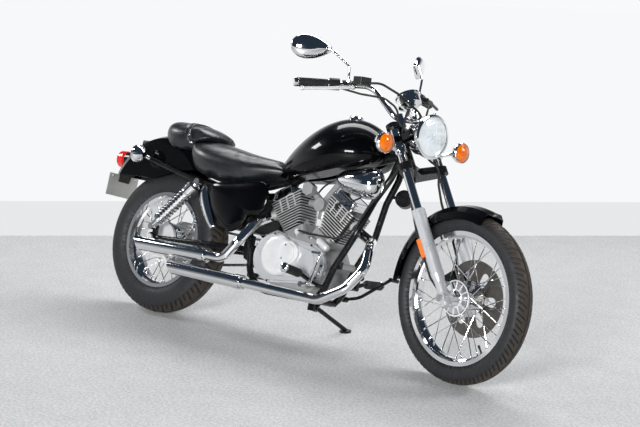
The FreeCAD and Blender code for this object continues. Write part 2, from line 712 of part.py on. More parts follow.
def clutch_cover():
    """The big round side cover, stepped up to a dome with a flat two-screw cap."""
    x, z = CLUTCH_X, CLUTCH_Z
    radius = CLUTCH_COVER_RADIUS
    right_x, right_radius = 835, 76
    base = hull_outline([(x, z, radius), (right_x, z, right_radius)], -CASE_HALF - 14, -CASE_HALF)
    wall = hull_outline([(x, z, radius - 7), (right_x, z, right_radius - 7)],
                        -CASE_HALF - 34, -CASE_HALF - 14)
    step = hull_outline([(x + 32, z + 6, radius - 22), (right_x - 4, z, right_radius - 22)],
                        -CLUTCH_COVER_Y + 8, -CASE_HALF - 34)
    dome = cone(vec(x + 38, -CLUTCH_COVER_Y + 8, z + 10), vec(x + 38, -CLUTCH_COVER_Y - 4, z + 10),
                radius - 26, radius - 42)
    cap = across(x + 93, z + 28, -CLUTCH_COVER_Y - 10, -CLUTCH_COVER_Y + 8, CLUTCH_CAP_RADIUS)
    pieces = [base, wall, step, dome, cap]
    for degrees in (64, 95, 126, 156, 212, 240, 268):
        angle = math.radians(degrees)
        pieces.append(across(x + (radius - 3) * math.cos(angle), z + (radius - 3) * math.sin(angle),
                             -CASE_HALF - 24, -CASE_HALF - 1, 8))
    for degrees in (-78, -40, 2, 44, 84):
        angle = math.radians(degrees)
        pieces.append(across(right_x + (right_radius - 3) * math.cos(angle),
                             z + (right_radius - 3) * math.sin(angle),
                             -CASE_HALF - 24, -CASE_HALF - 1, 8))
    return fuse(pieces)


def left_cover():
    """Alternator cover and the sprocket cover behind it, on the left of the cases."""
    disc = across(790, 318, CASE_HALF, CASE_HALF + 34, 96)
    rim = [edge for edge in disc.Edges if abs(edge.CenterOfMass.y - CASE_HALF - 34) < 0.1]
    disc = disc.makeFillet(14, rim)
    return disc


def intake():
    """Carburettor between the cylinders, with the manifold and its faceted right cap."""
    body = across(778, 560, -36, 44, 26)
    bowl = cylinder(vec(778, 10, 505), vec(778, 10, 560), 22)
    points = []
    for corner in range(6):
        angle = math.radians(60 * corner + 30)
        points.append((747 + 28 * math.cos(angle), 610 + 28 * math.sin(angle)))
    cap = side_outline(points, -88, -58)
    neck = cylinder(vec(747, -60, 610), vec(774, -10, 572), 13)
    duct = cylinder(vec(897, -60, 679), vec(780, -6, 574), 13)
    duct = duct.cut(box(800, 1000, -100, AIR_INNER_Y, 600, 740))
    manifold = cylinder(vec(CRANK_X - 60, 0, 562), vec(CRANK_X + 60, 0, 562), 15)
    cylinders = [engine_cylinder(1), engine_cylinder(-1)]
    return largest(fuse([body, bowl, cap, neck, duct, manifold]).cut(cylinders))


def egg_face(grow):
    """Half of the egg's long section: a small and a large circle joined by their tangent."""
    inner = AIR_INNER_Y - AIR_FLANGE
    rear = (EGG_REAR_X + EGG_REAR_RADIUS, EGG_REAR_RADIUS + grow)
    front = (EGG_FRONT_X - EGG_RADIUS, EGG_RADIUS + grow)
    lean = math.acos((rear[1] - front[1]) / (front[0] - rear[0]))

    def on(circle, angle):
        return vec(circle[0] + circle[1] * math.cos(angle), inner,
                   EGG_Z + circle[1] * math.sin(angle))
    tail = Part.Arc(on(rear, math.pi), on(rear, (math.pi + lean) / 2), on(rear, lean)).toShape()
    flank = Part.makeLine(on(rear, lean), on(front, lean))
    nose = Part.Arc(on(front, lean), on(front, lean / 2), on(front, 0)).toShape()
    return wire_face([tail, flank, nose, Part.makeLine(on(front, 0), on(rear, math.pi))])


def air_cleaner():
    """The chromed half egg of the air cleaner on the right, blunt end forward, on a flange."""
    inner = AIR_INNER_Y - AIR_FLANGE
    shell = egg_face(0).revolve(vec(0, inner, EGG_Z), X_AXIS, 360)
    half = shell.cut(box(EGG_REAR_X - 50, EGG_FRONT_X + 50, inner, 200, EGG_Z - 200, EGG_Z + 200))
    outline = fuse([egg_face(3), egg_face(3).mirror(vec(0, 0, EGG_Z), Z_AXIS)])
    flange = outline.extrude(vec(0, AIR_FLANGE, 0))
    return fuse([half, flange])


# Exhaust

def muffler(x0, z0, x1, z1, radius, slash):
    """A straight silencer with a slash-cut open tip, from its tip to its clamp."""
    tip = vec(x0, -EXHAUST_Y, z0)
    front = vec(x1, -EXHAUST_Y, z1)
    along = (front - tip).normalize()
    shell = cylinder(tip - along * slash, front, radius)
    taper = cone(front, front + along * 26, radius, HEADER_RADIUS + 2)
    clamp = cylinder(front - along * 14, front + along * 14, radius + 3)
    body = fuse([shell, taper, clamp])
    mouth = cylinder(tip - along * (slash + 1), tip + along * TIP_DEPTH,
                     radius - MUFFLER_WALL)
    body = body.cut(mouth)
    cutter = Part.makeBox(200, 4 * radius, 4 * radius, vec(-200, -2 * radius, -2 * radius))
    cutter.rotate(vec(0, 0, 0), Y_AXIS, -28)
    cutter.translate(tip)
    return body.cut(cutter)


def exhaust_upper():
    flange = cylinder(port_point(-1, 0), port_point(-1, 9), HEADER_RADIUS + 9)
    header = tube([port_point(-1, 0), port_point(-1, 34), (556, -126, 438),
                   (528, -EXHAUST_Y, 352), (470, -EXHAUST_Y, 278), (380, -EXHAUST_Y, 277)],
                  HEADER_RADIUS, 60)
    silencer = muffler(0, 272, 369, 277, UPPER_MUFFLER_RADIUS, 30)
    return fuse([header, flange, silencer])


def exhaust_lower():
    flange = cylinder(port_point(1, 0), port_point(1, 9), HEADER_RADIUS + 9)
    header = tube([port_point(1, 0), port_point(1, 34), (1072, -42, 446), (1116, -120, 426),
                   (1142, -160, 344),
                   (1086, -EXHAUST_Y, 258), (972, -EXHAUST_Y, 196), (590, -EXHAUST_Y, 200)],
                  HEADER_RADIUS, 70)
    silencer = muffler(206, 202, 579, 200, LOWER_MUFFLER_RADIUS, 30)
    return fuse([header, flange, silencer])


# Bodywork

def body_section(x, half, bottom, top, flat, low, high):
    """A closed section at x: flat underside, flanks that turn in at the low and high
    shares of the height, and a soft ridge. Seven poles, alike at every station."""
    height = top - bottom
    reach = 1.2 * half
    low_z = bottom + low * height
    high_z = bottom + high * height
    poles = [vec(x, flat, bottom), vec(x, reach, low_z), vec(x, reach, high_z),
             vec(x, 0, 1.5 * top - 0.5 * high_z), vec(x, -reach, high_z),
             vec(x, -reach, low_z), vec(x, -flat, bottom)]
    curve = Part.BSplineCurve()
    curve.buildFromPolesMultsKnots(poles, [4, 1, 1, 1, 4], [0, 0.25, 0.5, 0.75, 1], False, 3)
    base = Part.makeLine(vec(x, -flat, bottom), vec(x, flat, bottom))
    return Part.Wire([curve.toShape(), base])


def tank_section(x, half, bottom, top, flat):
    return body_section(x, half, bottom, top, flat, 0.1, 0.62)


def seat_section(x, half, bottom, top, flat):
    return body_section(x, half, bottom, top, flat, 0.3, 0.85)


def largest(shape):
    return max(shape.Solids, key=lambda solid: solid.Volume)


TANK_STATIONS = [(545, 30, 655, 700, 22), (600, 66, 640, 766, 50), (680, 104, 650, 842, 84),
                 (780, 132, 672, 898, 108), (870, TANK_HALF_WIDTH, 700, 914, 108),
                 (950, 120, 722, 896, 92), (1005, 84, 742, 862, 62), (1030, 44, 770, 828, 30)]


def tank_body():
    return loft([tank_section(*station) for station in TANK_STATIONS])


def tank_plan(gap):
    """The tank's rear in plan, as a prism that what wraps round it clears by this gap."""
    side = [(station[0] - gap, SECTION_BULGE * station[1] + gap) for station in TANK_STATIONS[:4]]
    corners = [vec(x, y, 500) for x, y in side] + [vec(x, -y, 500) for x, y in reversed(side)]
    return Part.Face(Part.makePolygon(corners + corners[:1])).extrude(vec(0, 0, 400))


def backbone_slot():
    """The slot, open below, in what straddles the backbone: a little wider than the tube."""
    reach = MAIN_TUBE_RADIUS + TUNNEL_GAP
    crest = [(x, z + 1.3 * reach) for x, z in BACKBONE_LINE]
    return side_outline(crest + [(500, 560), (500, 480), (1130, 480)], -reach, reach)


def fuel_tank():
    return tank_body().cut(backbone_slot())


def fender_envelope(grow):
    """The rear fender's outer form, grown by a gap: what sits on the fender clears it."""
    radius = FENDER_RADIUS + grow
    half = FENDER_HALF_WIDTH + grow
    profile = [(-half, 0.01), (-half, radius - 42), (-half + 18, radius - 14),
               (-half + 48, radius), (half - 48, radius), (half - 18, radius - 14),
               (half, radius - 42), (half, 0.01)]
    return ring(profile, vec(FENDER_X, 0, FENDER_Z))


def rear_fender():
    half = FENDER_HALF_WIDTH
    radius = FENDER_RADIUS
    wall = FENDER_WALL
    side = 30.0
    outer = [(-half, side), (-half, radius - 42), (-half + 18, radius - 14),
             (-half + 48, radius), (half - 48, radius), (half - 18, radius - 14),
             (half, radius - 42), (half, side)]
    inner = [(half - wall, side), (half - wall, radius - 43), (half - 19.5, radius - 17),
             (half - 48.5, radius - wall), (-half + 48.5, radius - wall),
             (-half + 19.5, radius - 17), (-half + wall, radius - 43), (-half + wall, side)]
    centre = vec(FENDER_X, 0, FENDER_Z)
    points = [centre + vec(r, y, 0) for y, r in outer + inner]
    face = Part.Face(Part.makePolygon(points + points[:1]))
    start = turned(face, centre, Y_AXIS, -14)
    body = start.revolve(centre, Y_AXIS, -148)
    skirt = side_outline([(-420, 100), (-420, 549), (-82, 556), (45, 603), (150, 616),
                          (300, 556), (300, 100)], -200, 200)
    return body.cut(skirt)


def seat_joint(lift):
    """The line in side view where the pillion pad lies on the rear of the rider's seat."""
    return [(90, 718.3 + lift), (320, 806.4 + lift)]


def rider_seat():
    stations = [(636, 38, 655, 676, 30), (590, 66, 640, 692, 56), (520, 92, 624, 702, 78),
                (430, 114, 598, 710, 94), (340, 126, 587, 722, 102),
                (262, RIDER_SEAT_HALF, 592, 735, 104), (185, 124, 604, 748, 98),
                (118, 100, 650, 764, 80)]
    body = loft([seat_section(*station) for station in stations])
    above = side_outline(seat_joint(0) + [(320, 900), (90, 900)], -200, 200)
    for cutter in (fender_envelope(SEAT_GAP), above, tank_plan(SEAT_GAP), backbone_slot()):
        body = body.cut(cutter)
    return largest(body)


def pillion_seat():
    stations = [(212, 62, 730, 766, 48), (176, 88, 712, 784, 70), (120, 100, 698, 802, 82),
                (52, PILLION_HALF, 690, 811, 90), (-16, 102, 690, 818, 84), (-50, 88, 700, 818, 72),
                (-78, 60, 716, 806, 48)]
    body = loft([seat_section(*station) for station in stations])
    below = side_outline([(118 - SEAT_GAP, 500), (118 - SEAT_GAP, 729 + SEAT_GAP),
                          (320, 806.4 + SEAT_GAP), (320, 500)], -200, 200)
    return largest(body.cut(fender_envelope(SEAT_GAP)).cut(below))


def side_cover():
    """The right side cover: a bulged triangular panel below the seat."""
    outline = [(288, 568), (410, 588), (545, 606), (580, 580), (596, 545), (588, 500), (560, 474),
               (512, 462), (490, 420), (430, 388), (380, 410), (330, 450), (290, 512)]
    panel = side_outline(outline, -128, -121)
    rings = []
    for y, share in ((-128, 1.0), (-136, 0.86), (-141, 0.62)):
        corners = [vec(446 + share * (x - 446), y, 506 + share * (z - 506)) for x, z in outline]
        rings.append(Part.makePolygon(corners + corners[:1]))
    bulge = Part.makeLoft(rings, True, True)
    peg = across(491, 500, -121, -106, 8).cut(cradle_tube(-1))
    return fuse([panel, bulge, largest(peg)])


def side_covers():
    return both_sides(side_cover())


def trim_cover(side):
    """The chromed curved trim between the side cover and the shock."""
    outline = [(231, 536), (250, 560), (276, 520), (300, 478), (328, 432), (345, 400),
               (325, 386), (296, 412), (268, 444), (238, 492)]
    panel = side_outline(outline, 118, 126)
    peg = across(249.5, 552, 108, 118, 5).cut(seat_rail(1, 0))
    trim = fuse([panel, peg])
    return trim if side > 0 else mirrored(trim)


def trims():
    return Part.makeCompound([trim_cover(1), trim_cover(-1)])


def tail_light():
    """A round red lens, stepped back to a narrower foot on its bracket."""
    front = vec(-LAMP_FRONT_X, 0, LAMP_Z)
    foot = cylinder(front, front + vec(-12, 0, 0), 32)
    lens = cylinder(front + vec(-12, 0, 0), front + vec(-48, 0, 0), 38)
    rim = [edge for edge in lens.Edges if abs(edge.BoundBox.XMax - front.x + 48) < 0.1]
    return fuse([foot, lens.makeFillet(10, rim)])


def rear_bracket():
    """The lamp's black base on the fender, with the strap that carries the plate."""
    base = cylinder(vec(-LAMP_FRONT_X, 0, LAMP_Z), vec(-280, 0, LAMP_Z), 36)
    strap = box(-PLATE_X, -PLATE_X + 20, -30, 30, 520, LAMP_Z - 33)
    return fuse([base, strap]).cut(fender_envelope(0))


# Front end

def lug_path(circles, z0, z1):
    pieces = []
    for start, end in zip(circles, circles[1:]):
        (xa, ya, ra), (xb, yb, rb) = start, end
        gap = math.hypot(xb - xa, yb - ya)
        heading = math.atan2(yb - ya, xb - xa)
        lift = math.acos((ra - rb) / gap)
        corners = []
        for x, y, radius, signs in ((xa, ya, ra, (1, -1)), (xb, yb, rb, (-1, 1))):
            for sign in signs:
                angle = heading + sign * lift
                corners.append(vec(x + radius * math.cos(angle),
                                   y + radius * math.sin(angle), z0))
        face = Part.Face(Part.makePolygon(corners + corners[:1]))
        pieces.append(face.extrude(vec(0, 0, z1 - z0)))
    for x, y, radius in circles:
        pieces.append(cylinder(vec(x, y, z0), vec(x, y, z1), radius))
    return fuse(pieces)


def triple_clamps():
    """Both fork clamps on one stem that turns in the frame's head."""
    legs = [(FORK_A, -FORK_HALF_SPACING, CLAMP_BOSS_RADIUS), (12, 0, CLAMP_NECK_RADIUS),
            (FORK_A, FORK_HALF_SPACING, CLAMP_BOSS_RADIUS)]
    lower = lug_path(legs, LOWER_CLAMP_S, LOWER_CLAMP_S + LOWER_CLAMP_HEIGHT)
    upper = lug_path(legs, UPPER_CLAMP_S, UPPER_CLAMP_S + UPPER_CLAMP_HEIGHT)
    stem = cylinder(vec(0, 0, LOWER_CLAMP_S), vec(0, 0, UPPER_CLAMP_S + UPPER_CLAMP_HEIGHT + 8),
                    STEM_RADIUS)
    body = fuse([lower, upper, stem])
    holes = [cylinder(vec(FORK_A, side * FORK_HALF_SPACING, LOWER_CLAMP_S - 1),
                      vec(FORK_A, side * FORK_HALF_SPACING, UPPER_CLAMP_S + 60),
                      FORK_TUBE_RADIUS) for side in (1, -1)]
    return tilt(body.cut(holes))


def fork_tubes():
    low = FORK_AXLE_S + SLIDER_LENGTH
    high = UPPER_CLAMP_S + UPPER_CLAMP_HEIGHT + 6
    tube_solid = cylinder(vec(FORK_A, FORK_HALF_SPACING, low),
                          vec(FORK_A, FORK_HALF_SPACING, high), FORK_TUBE_RADIUS)
    return tilt(both_sides(tube_solid))


def fork_sliders():
    """Lower fork legs: stepped castings with a dust seal and an axle boss."""
    top = FORK_AXLE_S + SLIDER_LENGTH
    axis = [vec(FORK_A, FORK_HALF_SPACING, s) for s in
            (FORK_AXLE_S - SLIDER_BELOW_AXLE, FORK_AXLE_S + 60, FORK_AXLE_S + 90, top - 26, top)]
    lower = cylinder(axis[0], axis[1], SLIDER_RADIUS - 4)
    neck = cone(axis[1], axis[2], SLIDER_RADIUS - 4, SLIDER_RADIUS)
    barrel = cylinder(axis[2], axis[3], SLIDER_RADIUS)
    seal = cylinder(axis[3], axis[4], SLIDER_RADIUS + 2)
    boss = cylinder(vec(FORK_A, FORK_HALF_SPACING - SLIDER_BOSS_REACH, FORK_AXLE_S),
                    vec(FORK_A, FORK_HALF_SPACING + SLIDER_RADIUS, FORK_AXLE_S), 20)
    body = fuse([lower, neck, barrel, seal, boss])
    bore = cylinder(vec(FORK_A, 0, FORK_AXLE_S), vec(FORK_A, 200, FORK_AXLE_S), AXLE_RADIUS)
    return tilt(both_sides(body.cut(bore)))


def front_fender():
    centre = FRONT_AXLE
    radius = FRONT_FENDER_RADIUS
    half = FRONT_FENDER_HALF
    wall = 2.5
    outer = [(-half, radius - 52), (-half + 6, radius - 26), (-half + 26, radius - 6), (0, radius),
             (half - 26, radius - 6), (half - 6, radius - 26), (half, radius - 52)]
    inner = [(half - wall, radius - 52), (half - wall - 6, radius - 27),
             (half - 26 - wall / 2, radius - 6 - wall), (0, radius - wall),
             (-half + 26 + wall / 2, radius - 6 - wall), (-half + wall + 6, radius - 27),
             (-half + wall, radius - 52)]
    points = [centre + vec(r, y, 0) for y, r in outer + inner]
    face = Part.Face(Part.makePolygon(points + points[:1]))
    start = turned(face, centre, Y_AXIS, -72)
    guard = start.revolve(centre, Y_AXIS, -104)
    brackets = []
    for side in (1, -1):
        y0, y1 = sorted((side * (half - 3), side * (FORK_HALF_SPACING - SLIDER_RADIUS)))
        block = cylinder(vec(FORK_A, y0, FORK_AXLE_S + 296), vec(FORK_A, y1, FORK_AXLE_S + 296), 11)
        brackets.append(tilt(block))
    return fuse([guard] + brackets)


def headlight():
    """Lamp bowl with its rim, and the pair of arms that hang it from the fork."""
    back = vec(HEADLAMP_X - 100, 0, HEADLAMP_Z)
    points = [(0, 0), (0, 26), (12, 50), (40, 72), (78, HEADLAMP_RADIUS - 4),
              (86, HEADLAMP_RADIUS), (100, HEADLAMP_RADIUS), (100, LENS_RADIUS), (86, LENS_RADIUS),
              (86, 0)]
    corners = [back + vec(x, 0, r) for x, r in points]
    face = Part.Face(Part.makePolygon(corners + corners[:1]))
    return face.revolve(back, X_AXIS, 360)


def cap(x, y, z, radius, height, facing):
    """A shallow domed cap on a flat round face at x, bulging along +X or -X."""
    sphere_radius = (radius ** 2 + height ** 2) / (2 * height)
    centre = vec(x - facing * (sphere_radius - height), y, z)
    ball = Part.makeSphere(sphere_radius, centre)
    end = vec(x + facing * (height + 1), y, z)
    return ball.common(cylinder(vec(x, y, z), end, radius + 1))


def headlight_lens():
    back = vec(HEADLAMP_X - 14, 0, HEADLAMP_Z)
    plain = cylinder(back, back + vec(13, 0, 0), LENS_RADIUS)
    return fuse([plain, cap(back.x + 13, 0, HEADLAMP_Z, LENS_RADIUS, 15, 1)])


def signal_body(x, y, z, facing):
    """A chromed round lamp bowl that faces along +X or -X, open to its lens."""
    points = [(0, 0), (0, 12), (14, 30), (30, SIGNAL_RADIUS), (44, SIGNAL_RADIUS), (44, 0)]
    back = vec(x - facing * 44, y, z)
    corners = [back + vec(facing * a, 0, r) for a, r in points]
    face = Part.Face(Part.makePolygon(corners + corners[:1]))
    return face.revolve(back, X_AXIS, 360)


def signal_lens(x, y, z, facing):
    return cap(x, y, z, SIGNAL_RADIUS - 2, 16, facing)


FRONT_SIGNAL = (1208.0, 203.0, 833.0)
REAR_SIGNAL = (-150.0, 150.0, 643.0)


def front_signals():
    x, y, z = FRONT_SIGNAL
    leg = (vec(FORK_A, 0, (vec(x, 0, z) - STEER_GROUND).dot(STEER_AXIS)))
    bike_leg = STEER_GROUND + STEER_FORWARD * leg.x + STEER_AXIS * leg.z
    lamp = signal_body(x, y, z, 1)
    stem = cylinder(vec(x - 24, y, z), vec(bike_leg.x, FORK_HALF_SPACING + 20, bike_leg.z), 8)
    collar = cylinder(vec(FORK_A, FORK_HALF_SPACING, leg.z - 17),
                      vec(FORK_A, FORK_HALF_SPACING, leg.z + 17), FORK_TUBE_RADIUS + 7)
    hole = cylinder(vec(FORK_A, FORK_HALF_SPACING, leg.z - 40),
                    vec(FORK_A, FORK_HALF_SPACING, leg.z + 40), FORK_TUBE_RADIUS)
    body = fuse([lamp, stem, tilt(collar)]).cut(tilt(hole))
    return both_sides(body)


def front_signal_lenses():
    x, y, z = FRONT_SIGNAL
    return both_sides(signal_lens(x, y, z, 1))


def headlight_brackets():
    """Arms from the fork tubes to the lamp bowl's sides."""
    s = (vec(HEADLAMP_X - 40, 0, HEADLAMP_Z) - STEER_GROUND).dot(STEER_AXIS)
    collar = cylinder(vec(FORK_A, FORK_HALF_SPACING, s - 12), vec(FORK_A, FORK_HALF_SPACING, s + 12),
                      FORK_TUBE_RADIUS + 6)
    hole = cylinder(vec(FORK_A, FORK_HALF_SPACING, s - 30), vec(FORK_A, FORK_HALF_SPACING, s + 30),
                    FORK_TUBE_RADIUS)
    leg = STEER_GROUND + STEER_FORWARD * FORK_A + STEER_AXIS * s
    lamp_x = HEADLAMP_X - 40
    arm = side_outline([(leg.x - 6, leg.z - 12), (lamp_x + 10, HEADLAMP_Z - 14),
                        (lamp_x + 10, HEADLAMP_Z + 14), (leg.x - 6, leg.z + 12)], 88, 96)
    bolt = across(lamp_x, HEADLAMP_Z, HEADLAMP_RADIUS - 12, 96, 8)
    body = fuse([tilt(collar), arm, bolt]).cut([tilt(hole), headlight()])
    return both_sides(body)


HANDLEBAR_POINTS = [(1096.0, 0.0, 930.0), (1094.0, 60.0, 930.0), (984.0, 98.0, 1043.0),
                    (849.0, 355.0, 1023.0)]


def bar_tube():
    half = tube(HANDLEBAR_POINTS, HANDLEBAR_RADIUS, 60)
    return fuse([half, mirrored(half)])


def handlebar():
    """The bent bar with the two risers that stand it on the upper clamp."""
    middle = vec(*HANDLEBAR_POINTS[0])
    s = (middle - STEER_GROUND).dot(STEER_AXIS)
    a = (middle - STEER_GROUND).dot(STEER_FORWARD)
    block = cylinder(vec(a, 38, UPPER_CLAMP_S + UPPER_CLAMP_HEIGHT), vec(a, 38, s + 18), 15)
    riser = tilt(block)
    return fuse([bar_tube(), riser, mirrored(riser)])


def along_grip(distance):
    """A point on the left grip's axis, measured inward from the bar's end."""
    end = vec(*HANDLEBAR_POINTS[3])
    heading = (vec(*HANDLEBAR_POINTS[2]) - end).normalize()
    return end + heading * distance


def grips():
    outer = cylinder(along_grip(-4), along_grip(GRIP_LENGTH), GRIP_RADIUS)
    flange = cylinder(along_grip(GRIP_LENGTH - 5), along_grip(GRIP_LENGTH), GRIP_RADIUS + 4)
    weight = cylinder(along_grip(-14), along_grip(-4), GRIP_RADIUS - 2)
    body = fuse([outer, flange, weight])
    core = cylinder(along_grip(0), along_grip(GRIP_LENGTH + 1), HANDLEBAR_RADIUS)
    return both_sides(body.cut(core))


def left_perch():
    return cylinder(along_grip(PERCH_INNER - 24), along_grip(PERCH_INNER), PERCH_RADIUS)


def bar_controls():
    """Switch housings and lever perches on both sides, with the clutch lever on the left."""
    housing = cylinder(along_grip(GRIP_LENGTH + 1), along_grip(GRIP_LENGTH + 36), 23)
    perch_at = along_grip(PERCH_INNER - 12)
    arm = cylinder(perch_at, lever_pivot(), 9)
    lever = tube([lever_pivot(), along_grip(90) + vec(54, 0, -12), along_grip(-8) + vec(44, 0, -16)],
                 6, 60)
    core = bar_tube()
    perch = fuse([left_perch(), arm])
    left = Part.makeCompound([housing.cut(core), fuse([perch, lever]).cut(core)])
    right = mirrored(Part.makeCompound([housing.cut(core), perch.cut(core)]))
    return Part.makeCompound([left, right])


def lever_pivot():
    return along_grip(PERCH_INNER - 12) + vec(56, 8, -8)


def levers():
    """The polished front brake lever, from its pivot out along the right grip."""
    lever = tube([lever_pivot() + vec(4, 1, 0), along_grip(92) + vec(56, 0, -16),
                  along_grip(-8) + vec(42, 0, -22)], 6.5, 60)
    ball = Part.makeSphere(9, along_grip(-8) + vec(42, 0, -22))
    arm = cylinder(along_grip(PERCH_INNER - 12), lever_pivot(), 9)
    return mirrored(fuse([lever, ball]).cut([arm, bar_tube()]))


def master_cylinder():
    at = along_grip(PERCH_INNER - 12)
    tank = box(at.x + 66, at.x + 116, -at.y - 28, -at.y + 28, at.z + 2, at.z + 32)
    upright = [edge for edge in tank.Edges
               if abs(edge.tangentAt(edge.FirstParameter).z) > 0.99]
    tank = tank.makeFillet(9, upright)
    pipe = cylinder(vec(at.x, -at.y, at.z), vec(at.x + 70, -at.y, at.z + 12), 9)
    pipe = pipe.cut([mirrored(left_perch()), bar_tube()])
    return largest(fuse([tank, pipe.cut(mirrored(bar_controls()))]))


def mirrors():
    """Egg-shaped mirrors, each pointed towards the bent stem from its lever perch."""
    base = along_grip(PERCH_INNER - 12)
    foot = base + vec(14, 0, PERCH_RADIUS - 5)
    head = loft([mirror_outline(y, share) for y, share in MIRROR_RINGS])
    head.rotate(vec(0, 0, 0), Z_AXIS, MIRROR_TURN)
    head.translate(MIRROR_CENTRE)
    tip = FreeCAD.Rotation(Z_AXIS, MIRROR_TURN).multVec(vec(0.8 * MIRROR_HALF, -8, 0))
    end = MIRROR_CENTRE + tip
    stem = tube([foot, foot + vec(0, 6, 58), end + vec(6, -4, -2), end], 5.5, 40)
    body = fuse([head, stem]).cut(left_perch())
    return both_sides(body)


def mirror_outline(y, share):
    """The egg outline of a mirror, pointed towards +X, at this depth and share of its size."""
    points = []
    for step in range(20):
        angle = math.radians(18 * step)
        narrow = 1 - 0.3 * math.cos(angle) - 0.12 * math.cos(angle) ** 2
        points.append(vec(share * MIRROR_HALF * math.cos(angle), y,
                          share * 0.5 * MIRROR_HEIGHT * math.sin(angle) * narrow))
    curve = Part.BSplineCurve()
    curve.interpolate(points, PeriodicFlag=True)
    return Part.Wire([curve.toShape()])


def speedometer():
    """The speedometer's pod, stepped to its rim, on a short post from the handlebar."""
    centre = vec(1092, 0, 1000)
    up = vec(-0.55, 0, 0.84).normalize()
    bowl = cone(centre - up * 28, centre - up * 16, 30, 46)
    drum = cylinder(centre - up * 16, centre + up * 18, 46)
    rim = cylinder(centre + up * 18, centre + up * 26, 50)
    post = cylinder(centre - up * 26, vec(*HANDLEBAR_POINTS[0]), 9)
    return fuse([bowl, drum, rim, post]).cut(bar_tube())


def brake_caliper():
    at = vec(FORK_A - 74, DISC_Y, FORK_AXLE_S + 92)
    body = box(at.x - 26, at.x + 30, at.y - CALIPER_INNER, at.y + 30, at.z - 40, at.z + 40)
    slot = box(at.x - 40, at.x + 60, at.y - DISC_THICKNESS / 2 - 1, at.y + DISC_THICKNESS / 2 + 1,
               at.z - 60, at.z + 60)
    slot_disc = cylinder(vec(FORK_A, at.y - DISC_THICKNESS / 2 - 1.5, FORK_AXLE_S),
                         vec(FORK_A, at.y + DISC_THICKNESS / 2 + 1.5, FORK_AXLE_S),
                         DISC_RADIUS + 3)
    ear = box(at.x + 20, FORK_A - 10, at.y + 8, at.y + 26, at.z - 30, at.z + 30)
    leg = cylinder(vec(FORK_A, FORK_HALF_SPACING, FORK_AXLE_S), vec(FORK_A, FORK_HALF_SPACING, 800),
                   SLIDER_RADIUS)
    return tilt(fuse([body, ear]).cut([slot_disc, leg]))


# Controls and small pieces

def footrests():
    """The riders' footrest arms from the downtubes: each ends in a core for its rubber."""
    tubes = [cradle_tube(1), cradle_tube(-1)]
    right_arm = tube([(910, -65, 246), (905, -128, 250), (FOOTREST_X, -172, 279),
                      (FOOTREST_X, -FOOTREST_OUTER - 6, 290)], 8, 30)
    right_cap = cylinder(vec(FOOTREST_X, -FOOTREST_OUTER - 10, 290.4),
                         vec(FOOTREST_X, -FOOTREST_OUTER, 289.4), 15)
    left_arm = tube([(912, 65, 252), (912, 122, 268), (LEFT_FOOTREST_X, 160, 290),
                     (LEFT_FOOTREST_X, FOOTREST_OUTER + 6, 297)], 8, 30)
    left_cap = cylinder(vec(LEFT_FOOTREST_X, FOOTREST_OUTER, 296.5),
                        vec(LEFT_FOOTREST_X, FOOTREST_OUTER + 10, 297), 15)
    bosses = [across(922, 311, 116, 148, 11), across(908, 266, 116, 148, 10)]
    web = box(904, 926, 118, 134, 262, 314)
    left = fuse([left_arm, left_cap, web] + bosses)
    right = fuse([right_arm, right_cap])
    return Part.makeCompound([right.cut(tubes), left.cut(tubes)])


def footrest_rubbers():
    """Ribbed rubbers on the footrests' cores and on the passenger's pegs."""
    right = cylinder(vec(FOOTREST_X, -FOOTREST_INNER - 14, 280),
                     vec(FOOTREST_X, -FOOTREST_OUTER, 289.4), 14.5)
    left = cylinder(vec(LEFT_FOOTREST_X, FOOTREST_INNER + 4, 290.6),
                    vec(LEFT_FOOTREST_X, FOOTREST_OUTER, 296.5), 14.5)
    cores = footrests()
    return Part.makeCompound([right.cut(cores), left.cut(cores)])


def brake_pedal():
    """The rear brake pedal on the right: boss, bent shank and tab."""
    boss = across(860, 241, -158, -140, 11)
    shank = tube([(860, -150, 241), (898, -150, 245), (923, -150, 368), (885, -150, 368)], 6, 16)
    pin = cylinder(vec(896, -150, 246), vec(905, -122, 250), 7)
    pad = box(884, 928, -158, -142, 364, 373)
    return largest(fuse([boss, shank, pin, pad]).cut(footrests()))


def shift_lever():
    """The gear lever on the left, swept forward and up to its toe peg."""
    boss = across(866, 217, 128, 152, 12)
    shank = tube([(866, 142, 217), (930, 142, 232), (1062, 142, 327)], 6.5, 120)
    toe = across(1062, 327, 136, 190, 8)
    post = across(866, 217, 96, 130, 8)
    stay = cylinder(vec(866, 110, 217), vec(872, 68, 192), 8)
    body = fuse([boss, shank, toe, post, stay])
    return largest(body.cut([cradle_tube(1), across(876, 190, -68, 68, 11)]))


def foot_controls():
    return Part.makeCompound([footrests(), shift_lever()])


def steering_run(points, radius):
    """A cable along points given in the steering frame, in runs joined by arcs."""
    return tilt(tube(points, radius, 60))


